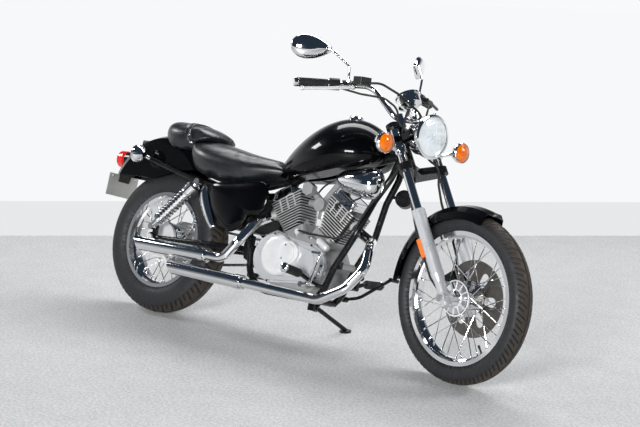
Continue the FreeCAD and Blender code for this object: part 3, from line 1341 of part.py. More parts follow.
def front_cables():
    """The brake hose to the caliper, the speedometer cable and the two bar cables."""
    hose = steering_run([(82, -176, 1184), (116, -150, 1168), (124, -70, 1122), (104, 28, 1072),
                         (86, 58, 1020), (50, 62, 972), (50, 62, 902), (90, 60, 848),
                         (60, 64, 790), (32, 82, 726), (24, 92, 600), (20, 90, 500),
                         (-6, 74, 452)], 4.5)
    speedo = steering_run([(94, -16, 1086), (104, -52, 1050), (86, -60, 1016), (50, -62, 972),
                           (50, -62, 902), (90, -60, 848), (60, -64, 790), (32, -82, 726),
                           (24, -92, 600), (24, -92, 420), (50, -84, 326)], 4)
    runs = []
    for side in (1, -1):
        start = along_grip(152) + vec(14, 0, -12)
        points = [(start.x, side * start.y, start.z), (1008, side * 176, 1006),
                  (1082, side * 120, 1000), (1120, side * 74, 964), (1114, side * 70, 890)]
        runs.append(tube(points, 4, 60))
    cutters = [triple_clamps(), fork_sliders(), brake_caliper(), speedometer(), master_cylinder(),
               bar_controls()]
    pieces = [largest(run.cut(cutters)) for run in [hose, speedo] + runs]
    return Part.makeCompound(pieces)


def clutch_cable():
    """The clutch cable from the steering head, past the downtube, to the clutch's arm."""
    points = [(1114, -22, 772), (1124, -50, 742), (1096, -66, 655), (1050, -85, 580),
              (1008, -87, 488), (968, -90, 446), (920, -92, 436), (790, -94, 438),
              (744, -92, 444), (728, -74, 424)]
    return largest(tube(points, 4, 60).cut([head_tube(), engine_cases(), cradle_tube(-1)]))


def fuel_cap():
    foot = cylinder(vec(847, 0, 880), vec(847, 0, 918), 31)
    top = cone(vec(847, 0, 918), vec(847, 0, 925), 31, 24)
    return fuse([foot, top]).cut(tank_body())


def fork_reflectors():
    """Round-ended amber plates on the outer sides of the sliders."""
    s = (vec(1352, 0, 470) - STEER_GROUND).dot(STEER_AXIS)
    reach = FORK_HALF_SPACING + SLIDER_RADIUS
    plate = box(FORK_A - 34, FORK_A - 12, reach - 16, reach - 5, s - 40, s + 32)
    leg = cylinder(vec(FORK_A, FORK_HALF_SPACING, s - 60), vec(FORK_A, FORK_HALF_SPACING, s + 60),
                   SLIDER_RADIUS)
    return tilt(both_sides(plate.cut(leg)))


def rear_signals():
    """Round rear turn signals on stalks from the ends of the seat rails."""
    x, y, z = REAR_SIGNAL
    stalk = cylinder(vec(x + 20, y - 20, z), vec(-108, RAIL_Y, 633), 8)
    body = fuse([signal_body(x, y, z, -1), stalk])
    return both_sides(body.cut(seat_rail(1, 0)))


def rear_signal_lenses():
    x, y, z = REAR_SIGNAL
    return both_sides(signal_lens(x, y, z, -1))


def battery_box():
    """The black box between the side covers, held by the frame's rear uprights."""
    block = box(326, 506, -97, 97, 404, 548)
    corners = [edge for edge in block.Edges if abs(edge.tangentAt(edge.FirstParameter).y) > 0.99]
    block = block.makeFillet(10, corners)
    tubes = [cradle_tube(side) for side in (1, -1)] + [seat_rail(side, 0) for side in (1, -1)]
    return largest(block.cut(tubes))


def horn():
    """The horn on the left, on a stay from the downtube."""
    dish = cylinder(vec(1098, 62, 640), vec(1086, 96, 636), 34)
    stay = cylinder(vec(1052, 36, 636), vec(1098, 66, 640), 6)
    return fuse([dish, stay]).cut(cradle_tube(1))


def number_plate():
    return box(-PLATE_X - 2, -PLATE_X, -PLATE_HALF_WIDTH, PLATE_HALF_WIDTH, 455, 552)


# Side stand, drawn in the settled pose because its foot lies on the floor

STAND_PIVOT = vec(757, 106, 164)
STAND_AXIS = vec(0, 0.371, 0.928).normalize()
STAND_FOOT = vec(797, 284, 92)
STAND_EYE_RADIUS = 12.0
STAND_EYE_HALF = 9.0
STAND_BOLT_RADIUS = 5.0


def stand_bracket():
    """Two ears and a bolt that carry the stand's eye, on a web under the left rail."""
    pieces = []
    for side in (1, -1):
        near = STAND_PIVOT + STAND_AXIS * (side * (STAND_EYE_HALF + HEAD_GAP))
        far = STAND_PIVOT + STAND_AXIS * (side * (STAND_EYE_HALF + 7))
        pieces.append(cylinder(near, far, STAND_EYE_RADIUS + 4))
    pieces.append(cylinder(STAND_PIVOT - STAND_AXIS * 16, STAND_PIVOT + STAND_AXIS * 16,
                           STAND_BOLT_RADIUS))
    web = box(743, 771, 74, 90, 146, 192)
    return fuse(pieces + [web])


def build_upright():
    """All nodes in the bike frame, as name -> (shape, turns with the steering)."""
    return {
        "frame": (frame(), False),
        "swingarm": (swingarm(), False),
        "shocks": (shocks(), False),
        "rear_axle": (rear_axle(), False),
        "rear_wheel": (rear_wheel(), False),
        "rear_tyre": (tyre(REAR_AXLE, REAR_TYRE_RADIUS, REAR_TYRE_WIDTH, REAR_CROWN_RADIUS,
                           REAR_RIM_RADIUS, REAR_RIM_WIDTH), False),
        "rear_sprocket": (rear_sprocket(), False),
        "chain": (chain(), False),
        "engine_cases": (engine_cases(), False),
        "clutch_cover": (clutch_cover(), False),
        "left_engine_cover": (left_cover(), False),
        "rear_cylinder": (engine_cylinder(-1), False),
        "front_cylinder": (engine_cylinder(1), False),
        "head_covers": (Part.makeCompound([head_cover(-1), head_cover(1)]), False),
        "carburettor": (intake(), False),
        "air_cleaner": (air_cleaner(), False),
        "exhaust_upper": (exhaust_upper(), False),
        "exhaust_lower": (exhaust_lower(), False),
        "fuel_tank": (fuel_tank(), False),
        "rider_seat": (rider_seat(), False),
        "pillion_seat": (pillion_seat(), False),
        "side_covers": (side_covers(), False),
        "cover_trims": (trims(), False),
        "rear_fender": (rear_fender(), False),
        "tail_light": (tail_light(), False),
        "foot_controls": (foot_controls(), False),
        "footrest_rubbers": (footrest_rubbers(), False),
        "brake_pedal": (brake_pedal(), False),
        "clutch_cable": (clutch_cable(), False),
        "fuel_cap": (fuel_cap(), False),
        "rear_signals": (rear_signals(), False),
        "rear_signal_lenses": (rear_signal_lenses(), False),
        "battery_box": (battery_box(), False),
        "horn": (horn(), False),
        "rear_bracket": (rear_bracket(), False),
        "number_plate": (number_plate(), False),
        "triple_clamps": (triple_clamps(), True),
        "fork_tubes": (fork_tubes(), True),
        "fork_sliders": (fork_sliders(), True),
        "front_axle": (front_axle(), True),
        "front_wheel": (front_wheel(), True),
        "front_tyre": (tyre(FRONT_AXLE, FRONT_TYRE_RADIUS, FRONT_TYRE_WIDTH, FRONT_CROWN_RADIUS,
                            FRONT_RIM_RADIUS, FRONT_RIM_WIDTH), True),
        "brake_disc": (brake_disc(), True),
        "brake_caliper": (brake_caliper(), True),
        "front_fender": (front_fender(), True),
        "headlight": (headlight(), True),
        "headlight_lens": (headlight_lens(), True),
        "headlight_brackets": (headlight_brackets(), True),
        "front_signals": (front_signals(), True),
        "front_signal_lenses": (front_signal_lenses(), True),
        "handlebar": (handlebar(), True),
        "front_cables": (front_cables(), True),
        "grips": (grips(), True),
        "bar_controls": (bar_controls(), True),
        "levers": (levers(), True),
        "master_cylinder": (master_cylinder(), True),
        "fork_reflectors": (fork_reflectors(), True),
        "mirrors": (mirrors(), True),
        "speedometer": (speedometer(), True),
    }


def wheel_low(centre, axle, radius, crown):
    """Height of the tyre's lowest point for a wheel with this axle direction."""
    return centre.z - (radius - crown) * math.sqrt(1 - axle.z ** 2) - crown


def stance():
    """The placement that leans the bike onto both tyres: a list of (base, axis, degrees, lift)."""
    steer = FreeCAD.Rotation(STEER_AXIS, STEER_REST)
    roll = FreeCAD.Rotation(X_AXIS, -LEAN)
    front = STEER_GROUND + steer.multVec(FRONT_AXLE - STEER_GROUND)
    front_axle_dir = steer.multVec(Y_AXIS)
    pitch = 0.0
    lift = 0.0
    for _ in range(8):
        turn = FreeCAD.Rotation(Y_AXIS, pitch).multiply(roll)
        rear_low = wheel_low(turn.multVec(REAR_AXLE), turn.multVec(Y_AXIS), REAR_TYRE_RADIUS,
                             REAR_CROWN_RADIUS)
        front_low = wheel_low(turn.multVec(front), turn.multVec(front_axle_dir),
                              FRONT_TYRE_RADIUS, FRONT_CROWN_RADIUS)
        pitch += math.degrees(math.atan2(front_low - rear_low, WHEELBASE))
        lift = -rear_low
    turn = FreeCAD.Rotation(Y_AXIS, pitch).multiply(roll)
    return FreeCAD.Placement(vec(0, 0, lift), turn)


def side_stand(place):
    """A leg from the frame's lug down to a pad that lies flat on the floor."""
    pivot = place.multVec(STAND_PIVOT)
    foot = place.multVec(STAND_FOOT)
    axis = place.Rotation.multVec(STAND_AXIS)
    sole = vec(foot.x, foot.y, 0)
    pad = cylinder(sole, sole + vec(0, 0, 6), 24)
    top = pivot + (sole - pivot).normalize() * (STAND_EYE_RADIUS + 7)
    leg = cylinder(top, sole + vec(0, 0, 8), 9)
    neck = cylinder(pivot, top, STAND_EYE_HALF - 1)
    eye = cylinder(pivot - axis * STAND_EYE_HALF, pivot + axis * STAND_EYE_HALF,
                   STAND_EYE_RADIUS)
    bore = cylinder(pivot - axis * 30, pivot + axis * 30, STAND_BOLT_RADIUS + HUB_FIT)
    floor_cut = Part.makeBox(600, 600, 100, vec(foot.x - 300, foot.y - 300, -100))
    return fuse([pad, leg, neck, eye]).cut([floor_cut, bore])


def settle(nodes):
    place = stance()
    shapes = {}
    for name, (shape, steered) in nodes.items():
        copy = shape.copy()
        if steered:
            copy.rotate(STEER_GROUND, STEER_AXIS, STEER_REST)
        copy.Placement = place.multiply(copy.Placement)
        shapes[name] = copy
    shapes["side_stand"] = side_stand(place)
    bounds = FreeCAD.BoundBox()
    for shape in shapes.values():
        bounds.add(shape.optimalBoundingBox(False, False))
    shift = vec(-(bounds.XMin + bounds.XMax) / 2, -(bounds.YMin + bounds.YMax) / 2, 0)
    for shape in shapes.values():
        shape.translate(shift)
    return shapes, place, shift


def export(shapes):
    os.makedirs("parts", exist_ok=True)
    for name, shape in shapes.items():
        shape.exportStep(os.path.join("parts", name + ".step"))
        print(name, "solids", len(shape.Solids), "valid", shape.isValid())


shapes, place, shift = settle(build_upright())
export(shapes)
total = FreeCAD.BoundBox()
for shape in shapes.values():
    total.add(shape.BoundBox)
print("size", round(total.XLength), round(total.YLength), round(total.ZLength), "low", total.ZMin)
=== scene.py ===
import json
import math

import bmesh
import bpy
import numpy as np
from mathutils import Matrix, Vector
from mathutils.bvhtree import BVHTree


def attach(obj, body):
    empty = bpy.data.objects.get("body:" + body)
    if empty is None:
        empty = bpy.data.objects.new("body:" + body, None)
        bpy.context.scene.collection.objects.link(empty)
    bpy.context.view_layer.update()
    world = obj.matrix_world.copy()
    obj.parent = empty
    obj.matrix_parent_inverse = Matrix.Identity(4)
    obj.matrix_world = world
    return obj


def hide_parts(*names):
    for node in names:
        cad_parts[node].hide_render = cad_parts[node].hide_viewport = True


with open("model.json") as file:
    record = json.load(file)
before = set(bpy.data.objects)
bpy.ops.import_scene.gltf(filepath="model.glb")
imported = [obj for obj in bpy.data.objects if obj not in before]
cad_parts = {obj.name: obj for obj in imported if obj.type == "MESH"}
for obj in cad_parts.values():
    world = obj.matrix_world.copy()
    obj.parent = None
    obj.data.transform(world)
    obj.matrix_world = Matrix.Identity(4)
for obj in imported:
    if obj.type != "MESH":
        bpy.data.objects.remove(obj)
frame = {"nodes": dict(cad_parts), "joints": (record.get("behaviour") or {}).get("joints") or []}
nodes = frame["nodes"]
joints = {joint["name"]: joint for joint in frame["joints"]}
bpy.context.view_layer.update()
print("frame loaded:", len(nodes), "nodes")


# the bike frame: mm from the rear tyre's contact, x forward, y left and z up, with the motorcycle
# upright and its steering straight

bike = {
    "rake": math.radians(32.0),
    "rearRadius": 306.0,
    "frontRadius": 309.0,
    "wheelbase": 1488.0,
    "trail": 118.0,
    "steerRest": math.radians(-13.4),
    "crank": (769.0, 0.0, 322.0),
    "bankAngle": math.radians(30.0),
}
steeredBodies = ("steering_body", "front_wheel_body")


def unit(vector):
    vector = np.asarray(vector, float)
    return vector / np.linalg.norm(vector)


def bikeAxes():
    # the left axis is the rear axle's, and the steering axis leans back by the rake
    left = unit(joints["rear_wheel_spin"]["axis"])
    ahead = unit(np.cross(left, joints["steering"]["axis"]))
    steer = np.cross(ahead, left)
    cosine, sine = math.cos(bike["rake"]), math.sin(bike["rake"])
    up = sine * ahead + cosine * steer
    axle = np.array(joints["rear_wheel_spin"]["pos_m"])
    return (np.array([cosine * ahead - sine * steer, left, up]),
            axle - up * bike["rearRadius"] / 1000)


bikeTurn, bikeOrigin = bikeAxes()
frontHub = np.array([bike["wheelbase"], 0.0, bike["frontRadius"]])
rearHub = np.array([0.0, 0.0, bike["rearRadius"]])


def place(points, steered=False):
    # the bike frame in mm to the row frame in metres; what steers first turns about the steering
    # axis by Rodrigues' rotation of whole arrays of points
    points = np.asarray(points, float)
    if steered:
        axis = np.array([-math.sin(bike["rake"]), 0.0, math.cos(bike["rake"])])
        pivot = np.array([bike["wheelbase"] + bike["trail"], 0.0, 0.0])
        away = points - pivot
        along = (away @ axis)[..., None] * axis
        points = (pivot + along + (away - along) * math.cos(bike["steerRest"])
                  + np.cross(axis, away) * math.sin(bike["steerRest"]))
    return bikeOrigin + (points / 1000) @ bikeTurn


# finishes

def newFinish(name, **values):
    finish = bpy.data.materials.new(name)
    finish.use_nodes = True
    shader = finish.node_tree.nodes["Principled BSDF"]
    for socket, value in values.items():
        shader.inputs[socket.replace("_", " ")].default_value = value
    return finish, finish.node_tree, shader


def addNode(tree, kind, sockets, result=0, **settings):
    # each socket is given a plain value or another node's output
    node = tree.nodes.new("ShaderNode" + kind)
    for name, value in settings.items():
        setattr(node, name, value)
    for key, value in sockets.items():
        if isinstance(value, bpy.types.NodeSocket):
            tree.links.new(value, node.inputs[key])
        else:
            node.inputs[key].default_value = value
    return node.outputs[result]


def objectPlace(tree):
    return addNode(tree, "TexCoord", {}, "Object")


def addNoise(tree, scale, detail=4.0, rough=0.5):
    return addNode(tree, "TexNoise", {"Vector": objectPlace(tree), "Scale": scale,
                                      "Detail": detail, "Roughness": rough}, "Fac")


def addRange(tree, value, low, high, start=0.3, end=0.7):
    return addNode(tree, "MapRange", {"Value": value, "From Min": start, "From Max": end,
                                      "To Min": low, "To Max": high}, "Result")


def addColours(tree, share, first, second):
    first, second = (one if isinstance(one, bpy.types.NodeSocket) else (*one, 1)
                     for one in (first, second))
    return addNode(tree, "Mix", {"Factor": share, "A": first, "B": second}, "Result",
                   data_type="RGBA")


def addMath(tree, operation, *values):
    return addNode(tree, "Math", dict(enumerate(values)), operation=operation)


def addDot(tree, vector, axis):
    return addNode(tree, "VectorMath", {0: vector, 1: axis}, "Value", operation="DOT_PRODUCT")


def addGrain(tree, shader, grain, coat=False):
    # noise, or the cells of the named kind, as a fine bump
    scale, detail, strength, depth = grain
    if isinstance(detail, str):
        height = addNode(tree, "TexVoronoi", {"Vector": objectPlace(tree), "Scale": scale},
                         "Distance", feature=detail)
    else:
        height = addNoise(tree, scale, detail)
    normal = addNode(tree, "Bump", {"Strength": strength, "Distance": depth, "Height": height})
    for socket in ("Normal", "Coat Normal") if coat else ("Normal",):
        tree.links.new(normal, shader.inputs[socket])


def makeFinish(name, colours=None, rough=None, grain=None, coat=False, **values):
    # colours and rough: a noise's scale and detail, and the two ends that it runs between
    finish, tree, shader = newFinish(name, **values)
    if colours:
        scale, detail, first, second = colours
        tree.links.new(addColours(tree, addNoise(tree, scale, detail), first, second),
                       shader.inputs["Base Color"])
    if rough:
        scale, detail, low, high = rough
        tree.links.new(addRange(tree, addNoise(tree, scale, detail), low, high),
                       shader.inputs["Roughness"])
    if grain:
        addGrain(tree, shader, grain, coat)
    return finish


def makeCastAlloy(name, low, high):
    return makeFinish(name, (35, 5, (low, low, 1.01 * low), (high, high, high)),
                      (80, 4, 0.28, 0.44), (1100, 3, 0.14, 0.0003), Metallic=0.3,
                      Coat_Weight=0.35, Coat_Roughness=0.15)


def makeSatinBlack(name, tone, rough, grain, depth):
    return makeFinish(name, (30, 4, [0.7 * tone] * 3, [1.4 * tone] * 3),
                      (90, 5, rough - 0.08, rough + 0.08), (grain, 3, 0.35, depth),
                      Specular_IOR_Level=0.3)


def makeLens(name, deep, bright, glow):
    return makeFinish(name, (60, 4, deep, bright), None, (260, "F1", 0.5, 0.001), Roughness=0.12,
                      Coat_Weight=0.6, Coat_Roughness=0.03, Transmission_Weight=0.2,
                      Emission_Strength=glow, Emission_Color=(*bright, 1))


def makeTyreRubber():
    # dusty on the crown, painted shade in the grooves, plain on the sidewalls
    finish, tree, shader = newFinish("tyreRubber")
    tread = addNode(tree, "Attribute", {}, "Color", attribute_name="tread")
    crown, groove = (addNode(tree, "SeparateColor", {"Color": tread}, channel)
                     for channel in ("Red", "Green"))
    wall = addColours(tree, addNoise(tree, 26, 5), (0.008, 0.0085, 0.0105),
                      (0.016, 0.0165, 0.019))
    dust = addColours(tree, addNoise(tree, 75, 5), (0.026, 0.02, 0.016), (0.056, 0.042, 0.031))
    worn = addColours(tree, crown, wall, dust)
    # painted shade: the grooves go darker than the plain rubber
    tree.links.new(addColours(tree, groove, worn, (0.007, 0.006, 0.006)),
                   shader.inputs["Base Color"])
    tree.links.new(addRange(tree, addNoise(tree, 60, 5), 0.5, 0.72), shader.inputs["Roughness"])
    addGrain(tree, shader, (420, 3, 0.3, 0.0005))
    return finish


finMetal = {
    "portReach": {1: 78.0, -1: 50.0},
    "innerReach": 30.0,
    "headReach": 79.0,
    "heights": (155.0, 270.0),
    "halfWidth": 62.0,
    "brightEdge": (-5.5, -2.5),
}


def makeFinMetal(name, side):
    # bright machined fin edges, and painted shade, near black, down between the fins
    finish, tree, shader = newFinish(name.replace("_", "") + "Fins", Metallic=0.45)
    sine, cosine = math.sin(side * bike["bankAngle"]), math.cos(side * bike["bankAngle"])
    crank = place(bike["crank"])

    def along(axis):
        # how far a point of the surface lies from the crank along an axis, in mm
        return addMath(tree, "SUBTRACT", addDot(tree, objectPlace(tree), axis * 1000),
                       float(axis @ crank) * 1000)

    x = along(bikeTurn.T @ (cosine, 0, -sine))
    y = addMath(tree, "ABSOLUTE", along(bikeTurn[1]))
    z = along(bikeTurn.T @ (sine, 0, cosine))
    # each side's fin edge runs straight from its reach at the deck to its reach at the head
    port, inner = (addRange(tree, z, reach, finMetal["headReach"], *finMetal["heights"])
                   for reach in (finMetal["portReach"][side], finMetal["innerReach"]))
    edges = ((addMath(tree, "MULTIPLY", x, side), port),
             (addMath(tree, "MULTIPLY", x, -side), inner), (y, finMetal["halfWidth"]))
    beyond = [addMath(tree, "SUBTRACT", *pair) for pair in edges]
    nearest = addMath(tree, "MAXIMUM", addMath(tree, "MAXIMUM", *beyond[:2]), beyond[2])
    edge = addRange(tree, nearest, 0.0, 1.0, *finMetal["brightEdge"])
    # painted shade: the surface goes near black down between the fins
    paintedShade = addColours(tree, addNoise(tree, 60, 4), (0.02, 0.02, 0.021), (0.06, 0.06, 0.06))
    bright = addColours(tree, addNoise(tree, 40, 5), (0.5, 0.5, 0.5), (0.72, 0.72, 0.72))
    tree.links.new(addColours(tree, edge, paintedShade, bright), shader.inputs["Base Color"])
    tree.links.new(addRange(tree, addNoise(tree, 80), 0.28, 0.46), shader.inputs["Roughness"])
    addGrain(tree, shader, (1100, 3, 0.15, 0.0003))
    return finish


finishes = {
    "black_paint": makeFinish("blackEnamel", None, (7, 4, 0.22, 0.34), (420, 2, 0.03, 0.0004),
                              True, Base_Color=(0.0015, 0.0015, 0.002, 1), Coat_Weight=0.6,
                              Specular_IOR_Level=0.03, Coat_Roughness=0.02, Coat_IOR=1.4),
    "black_metal": makeFinish("framePaint", (24, 4, (0.004, 0.004, 0.0045), (0.011, 0.011, 0.012)),
                              (60, 4, 0.2, 0.36), (900, 3, 0.1, 0.0003), Coat_Weight=0.4,
                              Coat_Roughness=0.06, Specular_IOR_Level=0.08),
    "chrome": makeFinish("chromePlate", (9, 4, (0.8, 0.81, 0.82), (0.9, 0.9, 0.9)),
                         (30, 6, 0.03, 0.09), (55, 2, 0.02, 0.0006), Metallic=1.0),
    "silver_paint": makeFinish("silverPaint", (1400, 1, (0.5, 0.51, 0.53), (0.72, 0.73, 0.75)),
                               (22, 4, 0.26, 0.4), (700, 2, 0.06, 0.0003), Metallic=0.35,
                               Coat_Weight=0.6, Coat_Roughness=0.1),
    "cast_alloy": makeCastAlloy("castAlloy", 0.7, 0.86),
    "bare_steel": makeFinish("bareSteel", (45, 6, (0.42, 0.41, 0.4), (0.64, 0.63, 0.62)),
                             (160, 4, 0.24, 0.42), (900, 2, 0.08, 0.0003), Metallic=1.0),
    "black_plastic": makeSatinBlack("mouldedBlack", 0.016, 0.42, 700, 0.0003),
    "black_rubber": makeSatinBlack("blackRubber", 0.018, 0.6, 500, 0.0005),
    "tyre": makeTyreRubber(),
    "black_vinyl": makeFinish("seatVinyl", (18, 4, (0.003, 0.0045, 0.006), (0.007, 0.0095, 0.012)),
                              (40, 5, 0.33, 0.45), (520, "SMOOTH_F1", 0.3, 0.0006),
                              Coat_Weight=0.4, Coat_Roughness=0.3),
    "orange_lens": makeLens("orangeLens", (0.72, 0.11, 0.0), (0.95, 0.24, 0.0), 0.12),
    "red_lens": makeLens("redLens", (0.5, 0.01, 0.01), (0.8, 0.03, 0.02), 0.15),
    "clear_lens": makeFinish("lampGlass", None, (20, 4, 0.0, 0.05), (120, 1, 0.12, 0.0006),
                             Base_Color=(0.96, 0.98, 1.0, 1), Transmission_Weight=1.0, IOR=1.46),
    "plate": makeFinish("plateMetal", (26, 5, (0.42, 0.42, 0.4), (0.6, 0.6, 0.58)),
                        (70, 4, 0.3, 0.5), Metallic=0.3),
}
# the mirror glows faintly to lift the shade inside the headlamp: painted light
glowingLampMirror = makeFinish("glowingLampMirror", (40, 2, (0.74, 0.77, 0.78), (0.93, 0.95, 0.95)),
                        (60, 4, 0.12, 0.25), Metallic=0.25, Coat_Weight=0.8, Coat_Roughness=0.05,
                        Emission_Color=(0.9, 0.95, 0.95, 1), Emission_Strength=0.45)
shadedAlloy = makeCastAlloy("shadedAlloy", 0.3, 0.42)
# browned where the pads run, with fine turning marks
discSteel = makeFinish("discSteel", (50, 5, (0.1, 0.09, 0.08), (0.2, 0.185, 0.17)),
                       (120, 4, 0.3, 0.48), (1300, 2, 0.1, 0.0002), Metallic=0.8)
ownFinishes = {
    "front_cylinder": makeFinMetal("front_cylinder", 1),
    "rear_cylinder": makeFinMetal("rear_cylinder", -1),
    "engine_cases": shadedAlloy,
    "carburettor": shadedAlloy,
    "brake_disc": discSteel,
}
for name, node in nodes.items():
    for slot in node.material_slots:
        slot.material = ownFinishes.get(name, finishes[slot.material.name.split(".")[0]])
print("finishes on the CAD nodes")


# forms: points and faces, in the bike frame in mm until a piece is made of them

def gridQuads(rows, columns, wrapRows=False, wrapColumns=False):
    row = np.arange(rows if wrapRows else rows - 1)[:, None]
    column = np.arange(columns if wrapColumns else columns - 1)[None, :]
    after = (column + 1) % columns
    beyond = (row + 1) % rows
    corners = (row * columns + column, row * columns + after,
               beyond * columns + after, beyond * columns + column)
    return np.stack(corners, -1).reshape(-1, 4)


def turnedOver(form):
    return form[0], [face[::-1] for face in form[1]]


def otherSide(form):
    return turnedOver((form[0] * (1, -1, 1), form[1]))


def capped(rings):
    # closed rings one after the other, with a face over both ends
    rings = np.asarray(rings, float)
    rows, count = rings.shape[:2]
    faces = gridQuads(rows, count, False, True).tolist()
    faces += [list(range(count))[::-1], list(range((rows - 1) * count, rows * count))]
    return rings.reshape(-1, 3), faces


def joined(parts):
    points, faces, count = [], [], 0
    for partPoints, partFaces in parts:
        points.append(np.asarray(partPoints, float))
        faces += [[number + count for number in face] for face in partFaces]
        count += len(partPoints)
    return np.concatenate(points), faces


def circle(steps):
    # the cosine and sine of equal steps round a turn
    turn = np.arange(steps) * 2 * math.pi / steps
    return np.stack([np.cos(turn), np.sin(turn)], 1)


def lathe(profile, start, axis, steps=24):
    # rings of (distance along the axis, radius)
    profile = np.asarray(profile, float)
    axis = unit(axis)
    side = unit(np.cross(axis, (0.31, 0.52, 0.79)))
    around = circle(steps) @ np.array([side, np.cross(axis, side)])
    return capped(np.asarray(start, float) + profile[:, 0, None, None] * axis
                  + profile[:, 1, None, None] * around)


squareSection = np.array([(1, -0.7), (1, 0.7), (0.7, 1), (-0.7, 1), (-1, 0.7), (-1, -0.7),
                          (-0.7, -1), (0.7, -1)])


def sweep(path, half, up=None, sides=10, closed=False, square=False):
    # a bar along the path: half its size to the side and upwards, round or square in section
    path = np.asarray(path, float)
    ahead = np.roll(path, -1, 0) - np.roll(path, 1, 0)
    if not closed:
        ahead[0] = path[1] - path[0]
        ahead[-1] = path[-1] - path[-2]
    ahead /= np.linalg.norm(ahead, axis=1)[:, None]
    if up is None:
        above = [unit(np.cross(ahead[0], (0.37, 0.61, 0.7)))]
        for step in ahead[1:]:
            above.append(unit(above[-1] - step * (above[-1] @ step)))
        above = np.array(above)
    else:
        above = np.asarray(up, float) - ahead * (ahead @ np.asarray(up, float))[:, None]
        above /= np.linalg.norm(above, axis=1)[:, None]
    side = np.cross(above, ahead)
    section = squareSection if square else circle(sides)
    rings = (path[:, None] + section[None, :, :1] * half[0] * side[:, None]
             + section[None, :, 1:] * half[1] * above[:, None])
    if closed:
        form = rings.reshape(-1, 3), gridQuads(len(path), len(section), True, True).tolist()
    else:
        form = capped(rings)
    return turnedOver(form)


def smoothPath(points, steps=8, closed=False):
    # a Catmull-Rom curve through the points
    points = np.asarray(points, float)
    if closed:
        padded = np.concatenate([points[-1:], points, points[:2]])
    else:
        padded = np.concatenate([2 * points[:1] - points[1:2], points,
                                 2 * points[-1:] - points[-2:-1]])
    share = np.linspace(0, 1, steps, endpoint=False)[:, None]
    runs = []
    for a, b, c, d in zip(padded, padded[1:], padded[2:], padded[3:]):
        runs.append(0.5 * (2 * b + (c - a) * share + (2 * a - 5 * b + 4 * c - d) * share ** 2
                           + (3 * b - a - 3 * c + d) * share ** 3))
    return np.concatenate(runs if closed else [*runs, points[-1:]])


def addPiece(name, form, slot, body="chassis_body", edge=35, finish=None):
    points, faces = form
    mesh = bpy.data.meshes.new(name)
    mesh.from_pydata(place(points, body in steeredBodies).tolist(), [],
                     [list(face) for face in faces])
    mesh.polygons.foreach_set("use_smooth", [True] * len(mesh.polygons))
    mesh.set_sharp_from_angle(angle=math.radians(edge))
    mesh.materials.append(finish or finishes[slot])
    piece = bpy.data.objects.new(name, mesh)
    bpy.context.scene.collection.objects.link(piece)
    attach(piece, body)
    return piece


def scaledLathe(profile, start, axis, radius, height, steps):
    return lathe(np.array(profile) * (height, radius), start, axis, steps)


def hexScrew(start, axis, radius, height):
    # a washer, and a six-sided head with a chamfered top
    return joined([scaledLathe(((0, 1.35), (0.16, 1.35), (0.2, 1.28)), start, axis, radius,
                               height, 24),
                   scaledLathe(((0.2, 1.0), (0.86, 1.0), (1.0, 0.86)), start, axis, radius,
                               height, 6)])


def socketScrew(start, axis, radius, height):
    # a round head with its hollow
    return scaledLathe(((0, 1.0), (0.8, 1.0), (1.0, 0.84), (1.0, 0.52), (0.45, 0.5)), start, axis,
                       radius, height, 18)


def dome(start, axis, radius, height, steps=28):
    turn = np.linspace(0, 1.5, 9)
    return lathe(np.stack([height * np.sin(turn), radius * np.cos(turn)], 1), start, axis, steps)


# tyres

tyres = (
    {"node": "front_tyre", "body": "front_wheel_body", "hub": frontHub,
     "radius": bike["frontRadius"], "width": 84.0, "crown": 46.0, "rimRadius": 242.0,
     "rimWidth": 58.0, "lugs": 92, "grooveDepth": 4.2, "grooveWidth": 2.6, "slant": 1.5},
    {"node": "rear_tyre", "body": "rear_wheel_body", "hub": rearHub,
     "radius": bike["rearRadius"], "width": 130.0, "crown": 78.0, "rimRadius": 204.0,
     "rimWidth": 100.0, "lugs": 72, "grooveDepth": 5.5, "grooveWidth": 3.6, "slant": 1.3},
)
tyreForm = {
    "shoulder": 0.84,
    "belly": 0.42,
    "wall": (10, 12),
    "stepsPerLug": 10,
    "wallSteps": 14,
    "crownSteps": 45,
    "grooveStarts": (0.2, 0.5),
    "ringLift": 0.7,
    "ringWidth": 1.3,
    "ringPlaces": (9, 9, -11),
    "seat": 12,
    "bead": 9,
    "foot": 3.5,
}


def arcThrough(first, middle, last, steps):
    # the circle through three points, from the first to the last, in complex numbers
    first, middle, last = (complex(*point) for point in (first, middle, last))
    ratio = (last - first) / (middle - first)
    centre = first + (middle - first) * (ratio - abs(ratio) ** 2) / (2j * ratio.imag)
    through, whole = (np.angle((point - centre) / (first - centre)) % (2 * math.pi)
                      for point in (middle, last))
    if through > whole:
        whole -= 2 * math.pi
    points = centre + (first - centre) * np.exp(1j * whole * np.linspace(0, 1, steps))
    return np.stack([points.real, points.imag], 1)


